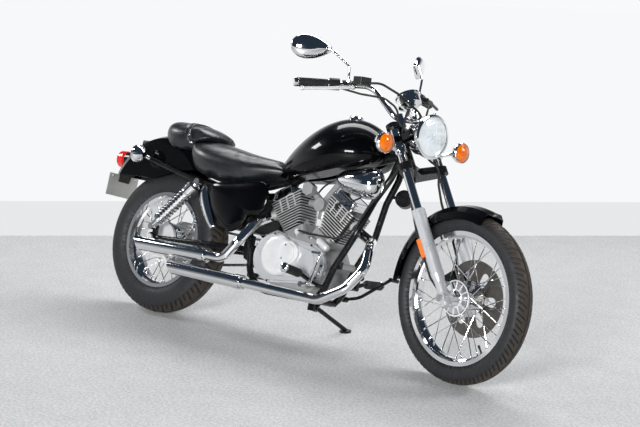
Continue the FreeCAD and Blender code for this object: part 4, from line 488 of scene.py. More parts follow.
def makeTyre(tyre):
    form = tyreForm
    half, rim, top = tyre["width"] / 2, tyre["rimRadius"], tyre["radius"]
    foot = tyre["rimWidth"] / 2 - form["foot"]
    edgeY = half * form["shoulder"]
    edgeR = top - tyre["crown"] + math.sqrt(tyre["crown"] ** 2 - edgeY ** 2)
    bellyR = rim + form["belly"] * (top - rim)
    wall, crownWall = form["wall"]
    seat, bead = rim - form["seat"], foot - form["bead"]
    right = arcThrough((-foot, rim + 2), (-half, bellyR), (-edgeY, edgeR), form["wallSteps"])
    crown = arcThrough((-edgeY, edgeR), (0, top), (edgeY, edgeR), form["crownSteps"])
    inside = np.array([(foot, seat), (bead, seat), (half - wall, bellyR), (0, top - crownWall),
                       (-half + wall, bellyR), (-bead, seat), (-foot, seat)])
    profile = np.concatenate([right, crown[1:-1], right[::-1] * (-1, 1), inside])
    across, reach = profile.T
    outer = np.arange(len(profile)) < len(profile) - len(inside)

    steps = tyre["lugs"] * form["stepsPerLug"]
    wheelTurn = circle(steps)
    share = np.clip(np.abs(across) / edgeY, 0, 1.3)
    # slanted grooves run from beside the middle line to the shoulder, every other one short:
    # each lies where the turn, less a slant that grows outwards, passes a whole number of lugs
    lug = np.arange(steps)[:, None] * tyre["lugs"] / steps
    lug = lug + np.sign(across) * 0.25 - tyre["slant"] * share
    away = np.abs(lug - np.round(lug)) * 2 * math.pi * top / tyre["lugs"]
    begin = np.where(np.round(lug) % 2 > 0.5, *form["grooveStarts"][::-1])
    slanted = (np.clip(1.25 - away / tyre["grooveWidth"], 0, 1)
               * (share > begin) * (share < 1.0))
    middle = np.clip(1.4 - np.abs(across) / (0.7 * tyre["grooveWidth"]), 0, 1)
    cut = np.maximum(slanted, middle) * outer
    # low rings on the sidewall stand proud of it
    rings = sum(np.exp(-((reach - at) / form["ringWidth"]) ** 2)
                for at in np.add((rim, bellyR, edgeR), form["ringPlaces"]))
    sideways = across + np.sign(across) * form["ringLift"] * rings * (share > 0.9) * outer
    radius = reach - cut * tyre["grooveDepth"]
    points = np.stack([tyre["hub"][0] + radius * wheelTurn[:, :1], sideways + 0 * radius,
                       tyre["hub"][2] + radius * wheelTurn[:, 1:]], -1)
    faces = gridQuads(steps, len(profile), True, True).tolist()
    piece = addPiece(tyre["node"].replace("_", "") + "Tread", (points.reshape(-1, 3), faces),
                     "tyre", tyre["body"], 42)
    tone = piece.data.attributes.new("tread", "FLOAT_COLOR", "POINT")
    crownShare = np.clip((reach - edgeR) / (top - edgeR) * 1.6 + 0.1, 0, 1)
    values = np.ones((steps, len(profile), 4))
    # red is the dust on the crown, green the grooves, which the finish darkens as painted shade
    values[..., 0] = crownShare * (1 - cut)
    values[..., 1] = cut
    tone.data.foreach_set("color", values.reshape(-1))
    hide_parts(tyre["node"])


for tyre in tyres:
    makeTyre(tyre)
print("tyres with their tread")


# spoke nipples and valves

wheels = (
    {"name": "front", "body": "front_wheel_body", "hub": frontHub, "rim": 219.5,
     "flanges": ((-36.0, 62.0), (36.0, 62.0)), "valve": -0.95},
    {"name": "rear", "body": "rear_wheel_body", "hub": rearHub, "rim": 181.5,
     "flanges": ((-28.0, 78.0), (43.0, 54.0)), "valve": 0.55},
)
spoke = {
    "count": 36,
    "lead": 34,
    "rimOffset": 0.12,
    "nipple": ((0, 3.6), (4, 3.6), (5, 2.9), (15, 2.6), (16.5, 2.2)),
    "head": (3.4, 2.4),
    "valve": ((0, 7), (3, 7), (4, 4), (20, 3.4), (20.5, 4.4), (33, 4.4), (34, 3.6)),
}


def outward(angle, radius=1.0, y=0.0):
    return np.array([radius * math.cos(angle), y, radius * math.sin(angle)])


def makeSpokeEnds(wheel):
    nipples, heads = [], []
    for index in range(spoke["count"]):
        pair, odd = divmod(index, 2)
        flangeY, flangeRadius = wheel["flanges"][odd]
        rimAngle = math.radians(pair * 20 + 10 * odd)
        hubAngle = rimAngle + math.radians(spoke["lead"] if pair % 2 else -spoke["lead"])
        start = wheel["hub"] + outward(hubAngle, flangeRadius, flangeY)
        end = wheel["hub"] + outward(rimAngle, wheel["rim"], flangeY * spoke["rimOffset"])
        nipples.append(lathe(spoke["nipple"], end, start - end, 10))
        heads.append(dome(start + (0, math.copysign(2, flangeY), 0), (0, flangeY, 0),
                          *spoke["head"], 10))
    addPiece(wheel["name"] + "SpokeNipples", joined(nipples), "chrome", wheel["body"])
    addPiece(wheel["name"] + "SpokeHeads", joined(heads), "bare_steel", wheel["body"])
    out = outward(wheel["valve"])
    stem = lathe(spoke["valve"], wheel["hub"] + out * wheel["rim"] + (0, -6, 0), -out)
    addPiece(wheel["name"] + "Valve", stem, "black_rubber", wheel["body"])


for wheel in wheels:
    makeSpokeEnds(wheel)
print("spoke nipples and valves")


# padded seats, in metres

pads = (
    {"node": "rider_seat", "name": "riderPad", "voxel": 0.005, "cap": 0.008,
     "neighbours": ("fuel_tank", "pillion_seat", "rear_fender", "frame", "side_covers",
                    "shocks")},
    {"node": "pillion_seat", "name": "pillionPad", "voxel": 0.0045, "cap": 0.007,
     "neighbours": ("rider_seat", "rear_fender", "frame")},
)
padding = {
    "shrink": 0.0025,
    "clear": 0.0006,
    "pressure": 4.0,
    "frames": 20,
    "smoothings": 12,
    "quickShare": 0.3,
    "mostBack": 0.001,
}


def mergedForm(mesh):
    form = bmesh.new()
    form.from_mesh(mesh)
    bmesh.ops.remove_doubles(form, verts=form.verts, dist=1e-5)
    return form


def treeOf(mesh):
    # a merged copy of the mesh, as a tree to measure from
    form = mergedForm(mesh)
    tree = BVHTree.FromBMesh(form)
    form.free()
    return tree


def vertexValues(items, name):
    values = np.empty(len(items) * 3, np.float32)
    items.foreach_get(name, values)
    return values.reshape(-1, 3).astype(float)


def moveVertices(mesh, points):
    mesh.vertices.foreach_set("co", points.astype(np.float32).reshape(-1))
    mesh.update()


def modify(piece, kind, **settings):
    modifier = piece.modifiers.new(kind.lower(), kind)
    for name, value in settings.items():
        setattr(modifier, name, value)
    return modifier


def applied(piece):
    # the mesh as the modifiers leave it, which are then taken off
    mesh = bpy.data.meshes.new_from_object(
        piece.evaluated_get(bpy.context.evaluated_depsgraph_get()))
    piece.modifiers.clear()
    return mesh


def inflated(piece):
    # the points of the shrunk cover after air has blown it up
    cloth = modify(piece, "CLOTH")
    cloth.settings.use_pressure = True
    cloth.settings.uniform_pressure_force = padding["pressure"]
    cloth.settings.effector_weights.gravity = 0
    cloth.settings.quality = 4
    cloth.collision_settings.use_collision = False
    for step in range(1, padding["frames"] + 1):
        bpy.context.scene.frame_set(step)
    points = vertexValues(applied(piece).vertices, "co")
    bpy.context.scene.frame_set(1)
    return points


def makePad(pad):
    form = mergedForm(nodes[pad["node"]].data)
    mesh = bpy.data.meshes.new(pad["name"])
    form.to_mesh(mesh)
    form.free()
    piece = bpy.data.objects.new(pad["name"], mesh)
    bpy.context.scene.collection.objects.link(piece)
    modify(piece, "REMESH", mode="VOXEL", voxel_size=pad["voxel"])
    modify(piece, "SMOOTH", factor=0.5, iterations=3)
    piece.data = applied(piece)
    start = vertexValues(piece.data.vertices, "co")
    normals = vertexValues(piece.data.vertex_normals, "vector")
    moveVertices(piece.data, start - normals * padding["shrink"])
    move = inflated(piece) - start
    # each point moves no further than the cap, and stays clear of what lies beside it
    clear, room = padding["clear"], np.full(len(start), pad["cap"])
    for name in pad["neighbours"]:
        tree = treeOf(nodes[name].data)
        for index, point in enumerate(start):
            hit = tree.find_nearest(Vector(point), pad["cap"] + clear)
            if hit[0] is not None:
                room[index] = min(room[index], hit[3] - clear)
    length = np.linalg.norm(move, axis=1)
    limit = np.where((move * normals).sum(1) > 0, np.clip(room, 0, pad["cap"]), pad["cap"])
    final = start + move * np.minimum(1, limit / np.maximum(length, 1e-9))[:, None]
    back = np.clip(clear - room, 0, padding["mostBack"])
    moveVertices(piece.data, final - normals * back[:, None])
    modify(piece, "SMOOTH", factor=0.5, iterations=padding["smoothings"])
    modify(piece, "SUBSURF", levels=1, render_levels=1)
    piece.data = applied(piece)
    piece.data.materials.clear()
    piece.data.materials.append(finishes["black_vinyl"])
    piece.data.polygons.foreach_set("use_smooth", [True] * len(piece.data.polygons))
    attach(piece, "chassis_body")
    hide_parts(pad["node"])
    return piece


riderSeat, pillionSeat = (makePad(pad) for pad in pads)
print("padded seats:", len(riderSeat.data.polygons), len(pillionSeat.data.polygons))


pillionStrap = {
    "low": (119.0, 708.0),
    "high": (60.0, 812.0),
    "middle": (95.0, 0.0, 745.0),
    "halfWidth": 13.0,
    "section": ((-1.0, 0.2), (-0.97, 4.6), (-0.85, 5.6), (-0.72, 3.8), (0.0, 4.4), (0.72, 3.8),
                (0.85, 5.6), (0.97, 4.6), (1.0, 0.2)),
    "outside": 400,
    "turn": 104,
    "turnStep": 4,
    "rivetRows": 4,
    "stud": ((0, 8.5), (1.2, 8.5), (2.4, 7), (3.6, 5.6), (5.4, 3.4), (6, 1)),
    "rivet": (4.2, 2.6),
}


def layOn(tree, middle, outwards):
    # where a line from outside towards the middle meets the pad, and the pad's own normal there
    start = middle + outwards * pillionStrap["outside"]
    hit = tree.ray_cast(Vector(place(start)), Vector(-outwards @ bikeTurn))
    return (np.array(hit[0]) - bikeOrigin) @ bikeTurn.T * 1000, np.array(hit[1]) @ bikeTurn.T


def makeStrap(strap):
    tree = treeOf(pillionSeat.data)
    lean = unit(np.subtract(strap["high"], strap["low"]))
    lengthwise = np.array([lean[1], 0, -lean[0]])
    up = np.array([lean[0], 0, lean[1]])
    rows = []
    turns = np.arange(-strap["turn"], strap["turn"] + 0.5, strap["turnStep"])
    for turn in np.radians(turns):
        outwards = math.cos(turn) * up + math.sin(turn) * np.array([0, 1.0, 0])
        row = []
        for share, lift in strap["section"]:
            at, normal = layOn(tree, strap["middle"] + lengthwise * share * strap["halfWidth"],
                               outwards)
            row.append(at + normal * lift)
        rows.append(row)
    rows = np.array(rows)
    addPiece("pillionStrap", (rows.reshape(-1, 3), gridQuads(*rows.shape[:2]).tolist()),
             "black_vinyl", edge=50)
    line = rows[:, len(strap["section"]) // 2]
    studs = []
    for index, inward in ((1, strap["rivetRows"]), (len(line) - 2, -strap["rivetRows"])):
        out = unit(np.cross(line[index + 1] - line[index - 1], lengthwise))
        if out[1] * line[index, 1] < 0:
            out = -out
        studs.append(lathe(strap["stud"], line[index], out))
        studs.append(dome(line[index + inward], out, *strap["rivet"]))
    addPiece("strapStuds", joined(studs), "chrome")


makeStrap(pillionStrap)
print("pillion strap")


# engine: screws, nuts, windows, plugs and leads

cover = {
    "rings": (((663.0, 321.0), 93.0, (64, 95, 126, 156, 212, 240, 268)),
              ((835.0, 321.0), 73.0, (-78, -40, 2, 44, 84))),
    "face": -108.0,
    "screw": (6.2, 4.5),
    "hollow": ((0, 4.6), (4.9, 4.6), (5.1, 4.2)),
    "capCentre": (756.0, 349.0),
    "capFace": -152.2,
    "capRing": 29,
    "capScrews": (100, 242),
    "capScrew": (4.4, 2.4),
    "capHollow": ((0, 2.2), (1.3, 2.2)),
    "caseScrews": ((612, 392), (640, 404), (690, 414), (734, 424), (806, 424), (852, 400),
                   (884, 362)),
    "caseScrew": (5, 6),
    "caseHalf": 84,
    "gearboxFront": 690,
    "gearboxLeft": 66,
    "leftCentre": (790, 318),
    "leftFace": 117.5,
    "leftRing": 78,
    "leftScrews": (20, 80, 140, 200, 260, 320),
    "leftScrew": (6, 4.5),
    "domes": ((((-2, 80), (2, 79.6), (6, 77.4), (9.5, 73), (12.4, 66), (14.4, 57), (15.6, 46),
                (16.1, 32), (16.2, 0.5)), (701, -130, 331), 96),
              (((0, 47.5), (17, 47.5), (19.2, 46.4), (20, 44), (20.2, 0.5)),
               (761, -126, 348), 72),
              (((0, 38.6), (21.5, 38.6), (23.4, 37.6), (24.2, 35.4), (24.2, 0.5)),
               (756, -128, 349), 72)),
}


def upCylinder(side, form):
    # from one cylinder's own frame, z up its bore from the crank, to the bike frame
    points = np.asarray(form[0], float)
    sine, cosine = math.sin(side * bike["bankAngle"]), math.cos(side * bike["bankAngle"])
    turn = np.array([(cosine, 0, -sine), (0, 1, 0), (sine, 0, cosine)])
    return points @ turn + bike["crank"], form[1]


def roundRing(centre, radius, degrees, y):
    return [outward(turn, radius, y) + (centre[0], 0, centre[1]) for turn in np.radians(degrees)]


def makeCoverScrews():
    # dark discs in the screws' sockets stand for the shade in them: painted shade
    steel, paintedShade = [], []
    right, left = (0, -1, 0), (0, 1, 0)
    for centre, radius, turns in cover["rings"]:
        for at in roundRing(centre, radius, turns, cover["face"]):
            steel.append(socketScrew(at, right, *cover["screw"]))
            paintedShade.append(lathe(cover["hollow"], at, right, 12))
    for at in roundRing(cover["capCentre"], cover["capRing"], cover["capScrews"],
                        cover["capFace"]):
        steel.append(socketScrew(at, right, *cover["capScrew"]))
        paintedShade.append(lathe(cover["capHollow"], at, right, 6))
    for x, z in cover["caseScrews"]:
        leftFace = cover["caseHalf"] if x > cover["gearboxFront"] else cover["gearboxLeft"]
        steel.append(hexScrew((x, -cover["caseHalf"], z), right, *cover["caseScrew"]))
        steel.append(hexScrew((x, leftFace, z), left, *cover["caseScrew"]))
    for at in roundRing(cover["leftCentre"], cover["leftRing"], cover["leftScrews"],
                        cover["leftFace"]):
        steel.append(socketScrew(at, left, *cover["leftScrew"]))
    addPiece("coverScrews", joined(steel), "bare_steel")
    addPiece("paintedSocketShade", joined(paintedShade), "black_plastic")


def makeCoverDome():
    # the round dome of the clutch cover, and its flat cap on a drum
    domes = [lathe(profile, start, (0, -1, 0), steps) for profile, start, steps in cover["domes"]]
    addPiece("coverDome", joined(domes), "cast_alloy", edge=28)


headNuts = {
    "covers": ((-70, -16, 38), 51.5, 295.2, 4.2),
    "bases": ((-36, 36), 50.0, 148.0, 5.5),
}


def makeHeadFixings():
    nuts = []
    for side in (1, -1):
        for places, y, z, radius in headNuts.values():
            for x in places:
                for out in (-y, y):
                    nuts.append(upCylinder(side, hexScrew((x, out, z), (0, 0, 1), radius, 6)))
    addPiece("headScrews", joined(nuts), "chrome")


windows = {
    "outline": ((-66, 288), (-46, 317), (-20, 319.5), (8, 319.5), (34, 318), (34.5, 302),
                (34, 288), (0, 287), (-35, 287)),
    "divider": ((-14, 288), (-14, 319)),
    "face": 57.0,
    "outlineBar": (3.2, 3.5),
    "dividerBar": (3.2, 3.2),
    "panels": (((-60, 290), (-44, 315), (-18, 316), (-18, 290)),
               ((-11, 290), (-11, 316), (31, 315), (31, 290))),
    "panelFaces": (52.0, 50.2),
}


def makeWindows():
    # raised chrome bars round two dark panels, on the outer side of both head covers
    for name, side in (("rearRight", -1), ("frontLeft", 1)):
        up = np.array([0, side, 0.0])

        def upright(points, y):
            return np.array([(x, side * y, z) for x, z in points])

        bars, panels = [], []
        for key, closed in (("outline", True), ("divider", False)):
            path = upCylinder(side, (upright(windows[key], windows["face"]), []))[0]
            bars.append(sweep(path, windows[key + "Bar"], up, closed=closed, square=True))
        for corners in windows["panels"]:
            form = capped([upright(corners, y) for y in windows["panelFaces"]])
            form = turnedOver(form) if side < 0 else form
            panels.append(upCylinder(side, form))
        addPiece(name + "CoverBars", joined(bars), "chrome")
        addPiece(name + "CoverPanels", joined(panels), "black_paint")


sparkPlugs = {
    "leadRadius": 3.6,
    "cap": ((-22, 6.5), (-18, 9.5), (-4, 9.5), (0, 8.5), (10, 8.0), (22, 6.5), (26, 4.2)),
    "steel": ((-30, 4.5), (-18, 4.5)),
    "coil": ((-10, 11), (8, 12), (10, 10)),
    "coilLift": (0, 0, 4),
    "routes": (((884, -56, 552), (890, -72, 566), (912, -80, 574), (950, -78, 584),
                (985, -62, 606), (1002, -34, 640), (1000, -12, 690)),
               ((655, 56, 552), (650, 72, 566), (660, 80, 590), (700, 74, 640), (760, 50, 668),
                (820, 12, 690))),
}


def makePlugs():
    caps, steel, leads = [], [], []
    for route in sparkPlugs["routes"]:
        route = np.array(route, float)
        inward = route[1] - route[0]
        caps.append(lathe(sparkPlugs["cap"], route[0], inward, 20))
        steel.append(lathe(sparkPlugs["steel"], route[0], inward, 12))
        leads.append(sweep(smoothPath(route), [sparkPlugs["leadRadius"]] * 2))
        caps.append(lathe(sparkPlugs["coil"], route[-1] + sparkPlugs["coilLift"], (0, 0, 1), 18))
    addPiece("plugCaps", joined(caps), "black_rubber")
    addPiece("plugSteel", joined(steel), "bare_steel")
    addPiece("plugLeads", joined(leads), "black_rubber")


casePieces = {
    "tube": (((0, 13), (4, 15), (52, 15), (56, 13), (60, 9)), (846, -78, 420), (0.86, 0, -0.5)),
    "boss": (((0, 12), (22, 12), (24, 10)), (742, -70, 438), (0, -1, 0), 20),
    "plug": ((-14, 15), (14, 15), (16, 17), (24, 17), (27, 14), (28, 9), (30, 8), (33, 4)),
    "plugs": ((886, -84, 300), (866, -84, 258)),
}


def makeCasePieces():
    # the cast tube and boss high on the right of the cases, and the two bright plugs low down
    addPiece("startTube", joined([lathe(*casePieces["tube"]), lathe(*casePieces["boss"])]),
             "cast_alloy")
    addPiece("casePlugs", joined([lathe(casePieces["plug"], at, (0, -1, 0), 28)
                                  for at in casePieces["plugs"]]), "chrome")


makeCoverDome()
makeCoverScrews()
makeHeadFixings()
makeWindows()
makePlugs()
makeCasePieces()
print("engine details")


# headlamp: a ribbed mirror, a bulb and a fluted glass

headlamp = {
    "x": 1240.0,
    "z": 876.0,
    "dish": 72.5,
    "dishSteps": (26, 96),
    "depth": 11.0,
    "panelDepth": 2,
    "dishSet": 13.4,
    "bulb": ((0, 9), (3, 9), (4, 6), (11, 6.2), (15, 4.6), (16.5, 1.5)),
    "glassRadius": 73.8,
    "glassRise": 15.0,
    "glassWall": 3.5,
    "glassSteps": (60, 160),
    "plainEdge": 0.93,
    "fluteDepth": 0.7,
    "flutePitch": 8.5,
    "bandPitch": 26.0,
    "rim": ((0, 75), (0, 83.4), (3, 84.4), (6, 83.6), (8, 79.5), (8.6, 75)),
    "rimBack": (-6, 0, 0),
    "rimScrew": ((0, 4), (10, 4), (11, 3)),
    "screwPlace": (-12, 0, 84),
    "signalRim": ((0, 36.2), (0, 39.4), (2.4, 39.8), (4.6, 38.2), (4.8, 36.2)),
    "signal": (1205.5, 203.0, 833.0),
}


def makeLampMirror(lamp):
    # a parabola, with eight shallow panels like a cut reflector
    rings, steps = lamp["dishSteps"]
    turn = circle(steps)
    share = np.linspace(0, 1, rings)[:, None]
    panel = (np.sin(np.arange(steps) * math.pi / 6) > 0) * lamp["panelDepth"]
    hollow = lamp["depth"] * share ** 2 + panel * share * (1 - share)
    points = np.stack([lamp["x"] - lamp["dishSet"] + 0.2 + hollow,
                       lamp["dish"] * share * turn[:, 0],
                       lamp["z"] + lamp["dish"] * share * turn[:, 1]], -1)
    faces = gridQuads(rings, steps, False, True).tolist()
    addPiece("headlampMirror", (points.reshape(-1, 3), faces), "chrome", "steering_body", 20,
             glowingLampMirror)
    bulb = lathe(lamp["bulb"], (lamp["x"] - lamp["dishSet"], 0, lamp["z"]), (1, 0, 0), 20)
    addPiece("headlampBulb", bulb, "clear_lens", "steering_body")


def makeLampGlass(lamp):
    size, rise = lamp["glassRadius"], lamp["glassRise"]
    radius = (size ** 2 + rise ** 2) / (2 * rise)
    rings, steps = lamp["glassSteps"]
    reach = np.linspace(0.2, size, rings)[:, None]
    y, z = (reach * part for part in circle(steps).T)
    cap = rise - radius + np.sqrt(radius ** 2 - reach ** 2) + 0 * y
    # upright flutes in bands across the middle, and a plain edge
    flute = np.abs(np.sin(y / lamp["flutePitch"] * math.pi)) * lamp["fluteDepth"]
    bands = np.abs(np.sin((z + 9) / lamp["bandPitch"] * math.pi)) ** 0.4
    inner = np.clip((lamp["plainEdge"] * size - reach) / 5, 0, 1)
    outside = np.stack([lamp["x"] - 1 + cap, y, lamp["z"] + z], -1)
    back = lamp["x"] - 1 - lamp["glassWall"] + cap * 0.96 - flute * bands * inner
    inside = np.stack([back, y, lamp["z"] + z], -1)
    glass = turnedOver(capped(np.concatenate([outside, inside[::-1]])))
    piece = addPiece("headlampGlass", glass, "clear_lens", "steering_body", 60)
    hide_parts("headlight_lens")


def latheRing(profile, start, axis, steps):
    # a lathed ring, whose last edge meets its first
    faces = gridQuads(len(profile), steps, True, True).tolist()
    return lathe(profile, start, axis, steps)[0], faces


def makeLampRims(lamp):
    middle = np.array([lamp["x"], 0, lamp["z"]])
    rim = latheRing(lamp["rim"], middle + lamp["rimBack"], (1, 0, 0), 96)
    addPiece("headlampRim", rim, "chrome", "steering_body")
    clip = lathe(lamp["rimScrew"], middle + lamp["screwPlace"], (1, 0, 0.3), 12)
    addPiece("rimScrew", clip, "chrome", "steering_body")
    rims = [lathe(lamp["signalRim"], np.array(lamp["signal"]) * (1, side, 1), (1, 0, 0), 40)
            for side in (1, -1)]
    addPiece("signalRims", joined([(points, faces[:-2]) for points, faces in rims]), "chrome",
             "steering_body")


makeLampMirror(headlamp)
makeLampGlass(headlamp)
makeLampRims(headlamp)
print("lamps")


# chain: plates, pins and rollers round both sprockets

chainRun = {
    "pitch": 12.7,
    "rear": ((0.0, 306.0), 45),
    "front": ((648.0, 345.0), 16),
    "y": 80.0,
    "plateRadius": 5.6,
    "waist": 3.9,
    "plates": ((3.4, 5.0), (5.3, 6.9)),
    "roller": ((-7.6, 1.9), (-3.3, 1.9), (-3.2, 4.2), (3.2, 4.2), (3.3, 1.9), (7.6, 1.9)),
}


def chainPins(run):
    # pins at equal steps along the pitch line: a straight run, an arc, a straight run, an arc
    rear, front = np.array(run["rear"][0]), np.array(run["front"][0])
    rearRadius, frontRadius = (run["pitch"] / 2 / math.sin(math.pi / run[key][1])
                               for key in ("rear", "front"))
    gap = front - rear
    heading = math.atan2(gap[1], gap[0])
    lift = math.acos((rearRadius - frontRadius) / math.hypot(*gap))
    straight = math.sqrt(gap @ gap - (rearRadius - frontRadius) ** 2)
    legs = (straight, frontRadius * 2 * lift, straight, rearRadius * (2 * math.pi - 2 * lift))
    starts = np.cumsum((0, *legs))
    count = 2 * round(starts[-1] / run["pitch"] / 2)

    def on(centre, radius, turn):
        return centre + radius * np.array([math.cos(turn), math.sin(turn)])

    pins = []
    for at in np.arange(count) * starts[-1] / count:
        leg = int(np.searchsorted(starts, at, "right")) - 1
        passed = at - starts[leg]
        turn = heading + (lift if leg < 2 else -lift)
        if leg % 2:
            centre, radius = (front, frontRadius) if leg == 1 else (rear, rearRadius)
            pins.append(on(centre, radius, turn - passed / radius))
        else:
            ends = [on(rear, rearRadius, turn), on(front, frontRadius, turn)]
            start, end = ends if leg == 0 else ends[::-1]
            pins.append(start + (end - start) * passed / straight)
    return np.array(pins)


def makeChain(run):
    pins = chainPins(run)
    ends = np.radians(np.linspace(90, 270, 9))
    first = run["plateRadius"] * np.stack([np.cos(ends), np.sin(ends)], 1)
    waist = np.array([(run["pitch"] / 2, -run["waist"])])
    outline = np.concatenate([first, waist, (run["pitch"], 0) - first, (run["pitch"], 0) - waist])
    parts = []
    for index, (pin, following) in enumerate(zip(pins, np.roll(pins, -1, 0))):
        ahead = unit(following - pin)
        above = np.array([-ahead[1], ahead[0]])
        x, z = (pin + outline @ np.array([ahead, above])).T
        for side in (1, -1):
            plate = capped([np.stack([x, np.full(len(x), run["y"] + side * depth), z], 1)
                            for depth in run["plates"][index % 2]])
            parts.append(turnedOver(plate) if side > 0 else plate)
        parts.append(lathe(run["roller"], (pin[0], run["y"], pin[1]), (0, 1, 0), 12))
    piece = addPiece("chainLinks", joined(parts), "bare_steel")
    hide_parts("chain")


makeChain(chainRun)
print("chain")


# the block on the rear fender, and the plate's screws

rearPieces = {
    "block": ((-237, 0, 703), (62, 34, 34), 5),
    "foot": ((-235, 0, 688), (40, 24, 14), 4),
    "plateScrews": ((-349.8, 1), (-352.2, -1)),
    "plateScrewY": 70,
    "plateScrewZ": 541,
}


def roundedBox(centre, size, corner):
    # a box with its upright and top edges rounded off
    half = np.array(size) / 2
    rings = []
    for height, shrink in ((-half[2], 0.0), (half[2] - corner, 0.0),
                           (half[2] - 0.3 * corner, 0.35), (half[2], 1.0)):
        radius = corner * (1 - 0.8 * shrink)
        rings.append([(signX * (half[0] - corner) + radius * math.cos(turn),
                       signY * (half[1] - corner) + radius * math.sin(turn), height)
                      for signX, signY, start in ((1, 1, 0), (-1, 1, 90), (-1, -1, 180),
                                                  (1, -1, 270))
                      for turn in np.radians(start + np.linspace(0, 90, 5))])
    return capped(np.array(rings) + centre)


def makeRearPieces(rear):
    addPiece("fenderBlock", joined([roundedBox(*rear["block"]), roundedBox(*rear["foot"])]),
             "black_plastic")
    screws = [hexScrew((x, y, rear["plateScrewZ"]), (way, 0, 0), 4.5, 4)
              for x, way in rear["plateScrews"]
              for y in (-rear["plateScrewY"], rear["plateScrewY"])]
    addPiece("plateScrews", joined(screws), "bare_steel")


makeRearPieces(rearPieces)
print("rear pieces")


# smooth side covers and chromed trims

sideCover = {
    "outline": ((288, 568), (410, 588), (545, 606), (580, 580), (596, 545), (588, 500),
                (560, 474), (512, 462), (490, 420), (430, 388), (380, 410), (330, 450),
                (290, 512)),
    "middle": (446.0, 506.0),
    "rings": ((1.0, 121.0), (1.0, 126.5), (0.985, 129.5), (0.95, 132.0), (0.87, 135.8),
              (0.76, 138.8), (0.62, 141.0), (0.45, 142.6), (0.25, 143.6), (0.02, 144.0)),
    "peg": (((0, 8), (16, 8)), (491, 106, 500), (0, 1, 0), 14),
}
sideTrim = {
    "rear": ((231, 536), (238, 492), (268, 444), (296, 412), (325, 386)),
    "front": ((250, 560), (276, 520), (300, 478), (328, 432), (345, 400)),
    "columns": (0, 0, 0.06, 0.2, 0.35, 0.5, 0.65, 0.8, 0.94, 1, 1),
    "inner": 118.0,
    "outer": 126.0,
    "lip": 2,
    "bulge": 9.0,
    "peg": (((0, 5), (12, 5)), (249.5, 108, 540), (0, 1, 0), 12),
}


def bothSides(forms):
    return joined([*forms, *(otherSide(form) for form in forms)])


def makeSideCovers(panel):
    middle = np.array(panel["middle"])
    away = smoothPath(panel["outline"], 6, closed=True) - middle
    rings = []
    for share, depth in panel["rings"]:
        x, z = (middle + share * away).T
        rings.append(np.stack([x, np.full(len(x), depth), z], 1))
    piece = addPiece("sidePanels", bothSides([capped(rings)]), "black_paint", edge=50)
    addPiece("sidePanelPegs", bothSides([lathe(*panel["peg"])]), "black_metal")
    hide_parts("side_covers")


def makeSideTrims(trim):
    # a strip between two curves, swelling outwards in the middle, with its edges turned in
    rear, front = (smoothPath([(x, 0, z) for x, z in trim[key]], 6) for key in ("rear", "front"))
    along = np.linspace(0, 1, len(rear))
    columns = []
    for share in trim["columns"]:
        column = rear + (front - rear) * share
        swell = trim["bulge"] * math.sin(math.pi * share) * np.sin(math.pi * along) ** 0.5
        column[:, 1] = trim["outer"] + swell - (trim["lip"] if share in (0, 1) else 0)
        columns.append(column)
    columns[0][:, 1] = columns[-1][:, 1] = trim["inner"]
    strip = capped(np.stack(columns, 1))
    piece = addPiece("sideTrims", bothSides([strip, lathe(*trim["peg"])]), "chrome", edge=60)
    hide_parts("cover_trims")


makeSideCovers(sideCover)
makeSideTrims(sideTrim)
print("side panels and trims")


# mirrors, grip ends and hub ribs

mirror = {
    "centre": (845.0, 300.0, 1165.0),
    "turn": math.radians(-55.0),
    "half": 82.0,
    "height": 92.0,
    "shell": ((-27.0, 0.93), (-28.0, 0.96), (-27.5, 0.99), (-25.0, 1.0), (-21.0, 0.985),
              (-15.0, 0.92), (-9.0, 0.81), (-4.0, 0.66), (-0.5, 0.47), (1.6, 0.25), (2.2, 0.02)),
    "glass": ((-28.6, 0.9), (-27.0, 0.9)),
    "stem": ((949.3, 190.7, 1048.8), (949.6, 191.5, 1062), (949.3, 195.5, 1100),
             (942, 199.5, 1113), (890, 232, 1157), (880, 239.5, 1164), (868, 247, 1166)),
    "stemRadius": 5.5,
    "ball": (((-9, 2), (-7, 6), (0, 9), (7, 6), (9, 2)), (868, 247, 1166), (0.5, -0.8, 0.1), 20),
    "nut": (((0, 9), (9, 9), (10, 7.5)), (949.3, 190.7, 1046), (0, 0, 1), 6),
}


def mirrorForm(rings):
    # egg-shaped rings, narrower towards the outer end
    cosine, sine = math.cos(mirror["turn"]), math.sin(mirror["turn"])
    along, up = circle(64).T
    narrow = 1 - 0.3 * along - 0.12 * along ** 2
    points = []
    for depth, share in rings:
        x = share * mirror["half"] * along
        z = share * 0.5 * mirror["height"] * up * narrow
        points.append(np.stack([x * cosine - depth * sine, x * sine + depth * cosine, z], 1)
                      + mirror["centre"])
    return turnedOver(capped(points))


def makeMirrors():
    stem = sweep(smoothPath(mirror["stem"], 6), [mirror["stemRadius"]] * 2, sides=14)
    parts = [mirrorForm(mirror["shell"]), stem, lathe(*mirror["ball"]), lathe(*mirror["nut"])]
    piece = addPiece("mirrorShells", bothSides(parts), "chrome", "steering_body", 50)
    addPiece("mirrorGlasses", bothSides([mirrorForm(mirror["glass"])]), "chrome",
             "steering_body")
    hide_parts("mirrors")


grip = {
    "end": (849.0, 355.0, 1023.0),
    "bar": (984.0, 98.0, 1043.0),
    "brights": ((-17.5, ((0, 9), (1, 12), (3, 16.4), (9, 17.6), (19, 17.6), (20, 17.1))),
                (114, ((0, 17.2), (0.5, 19), (4.5, 19), (5, 17.2)))),
    "ribs": (8, 112, 6.5),
    "rib": ((0, 17.02), (0.6, 17.9), (3.4, 17.9), (4, 17.02)),
}


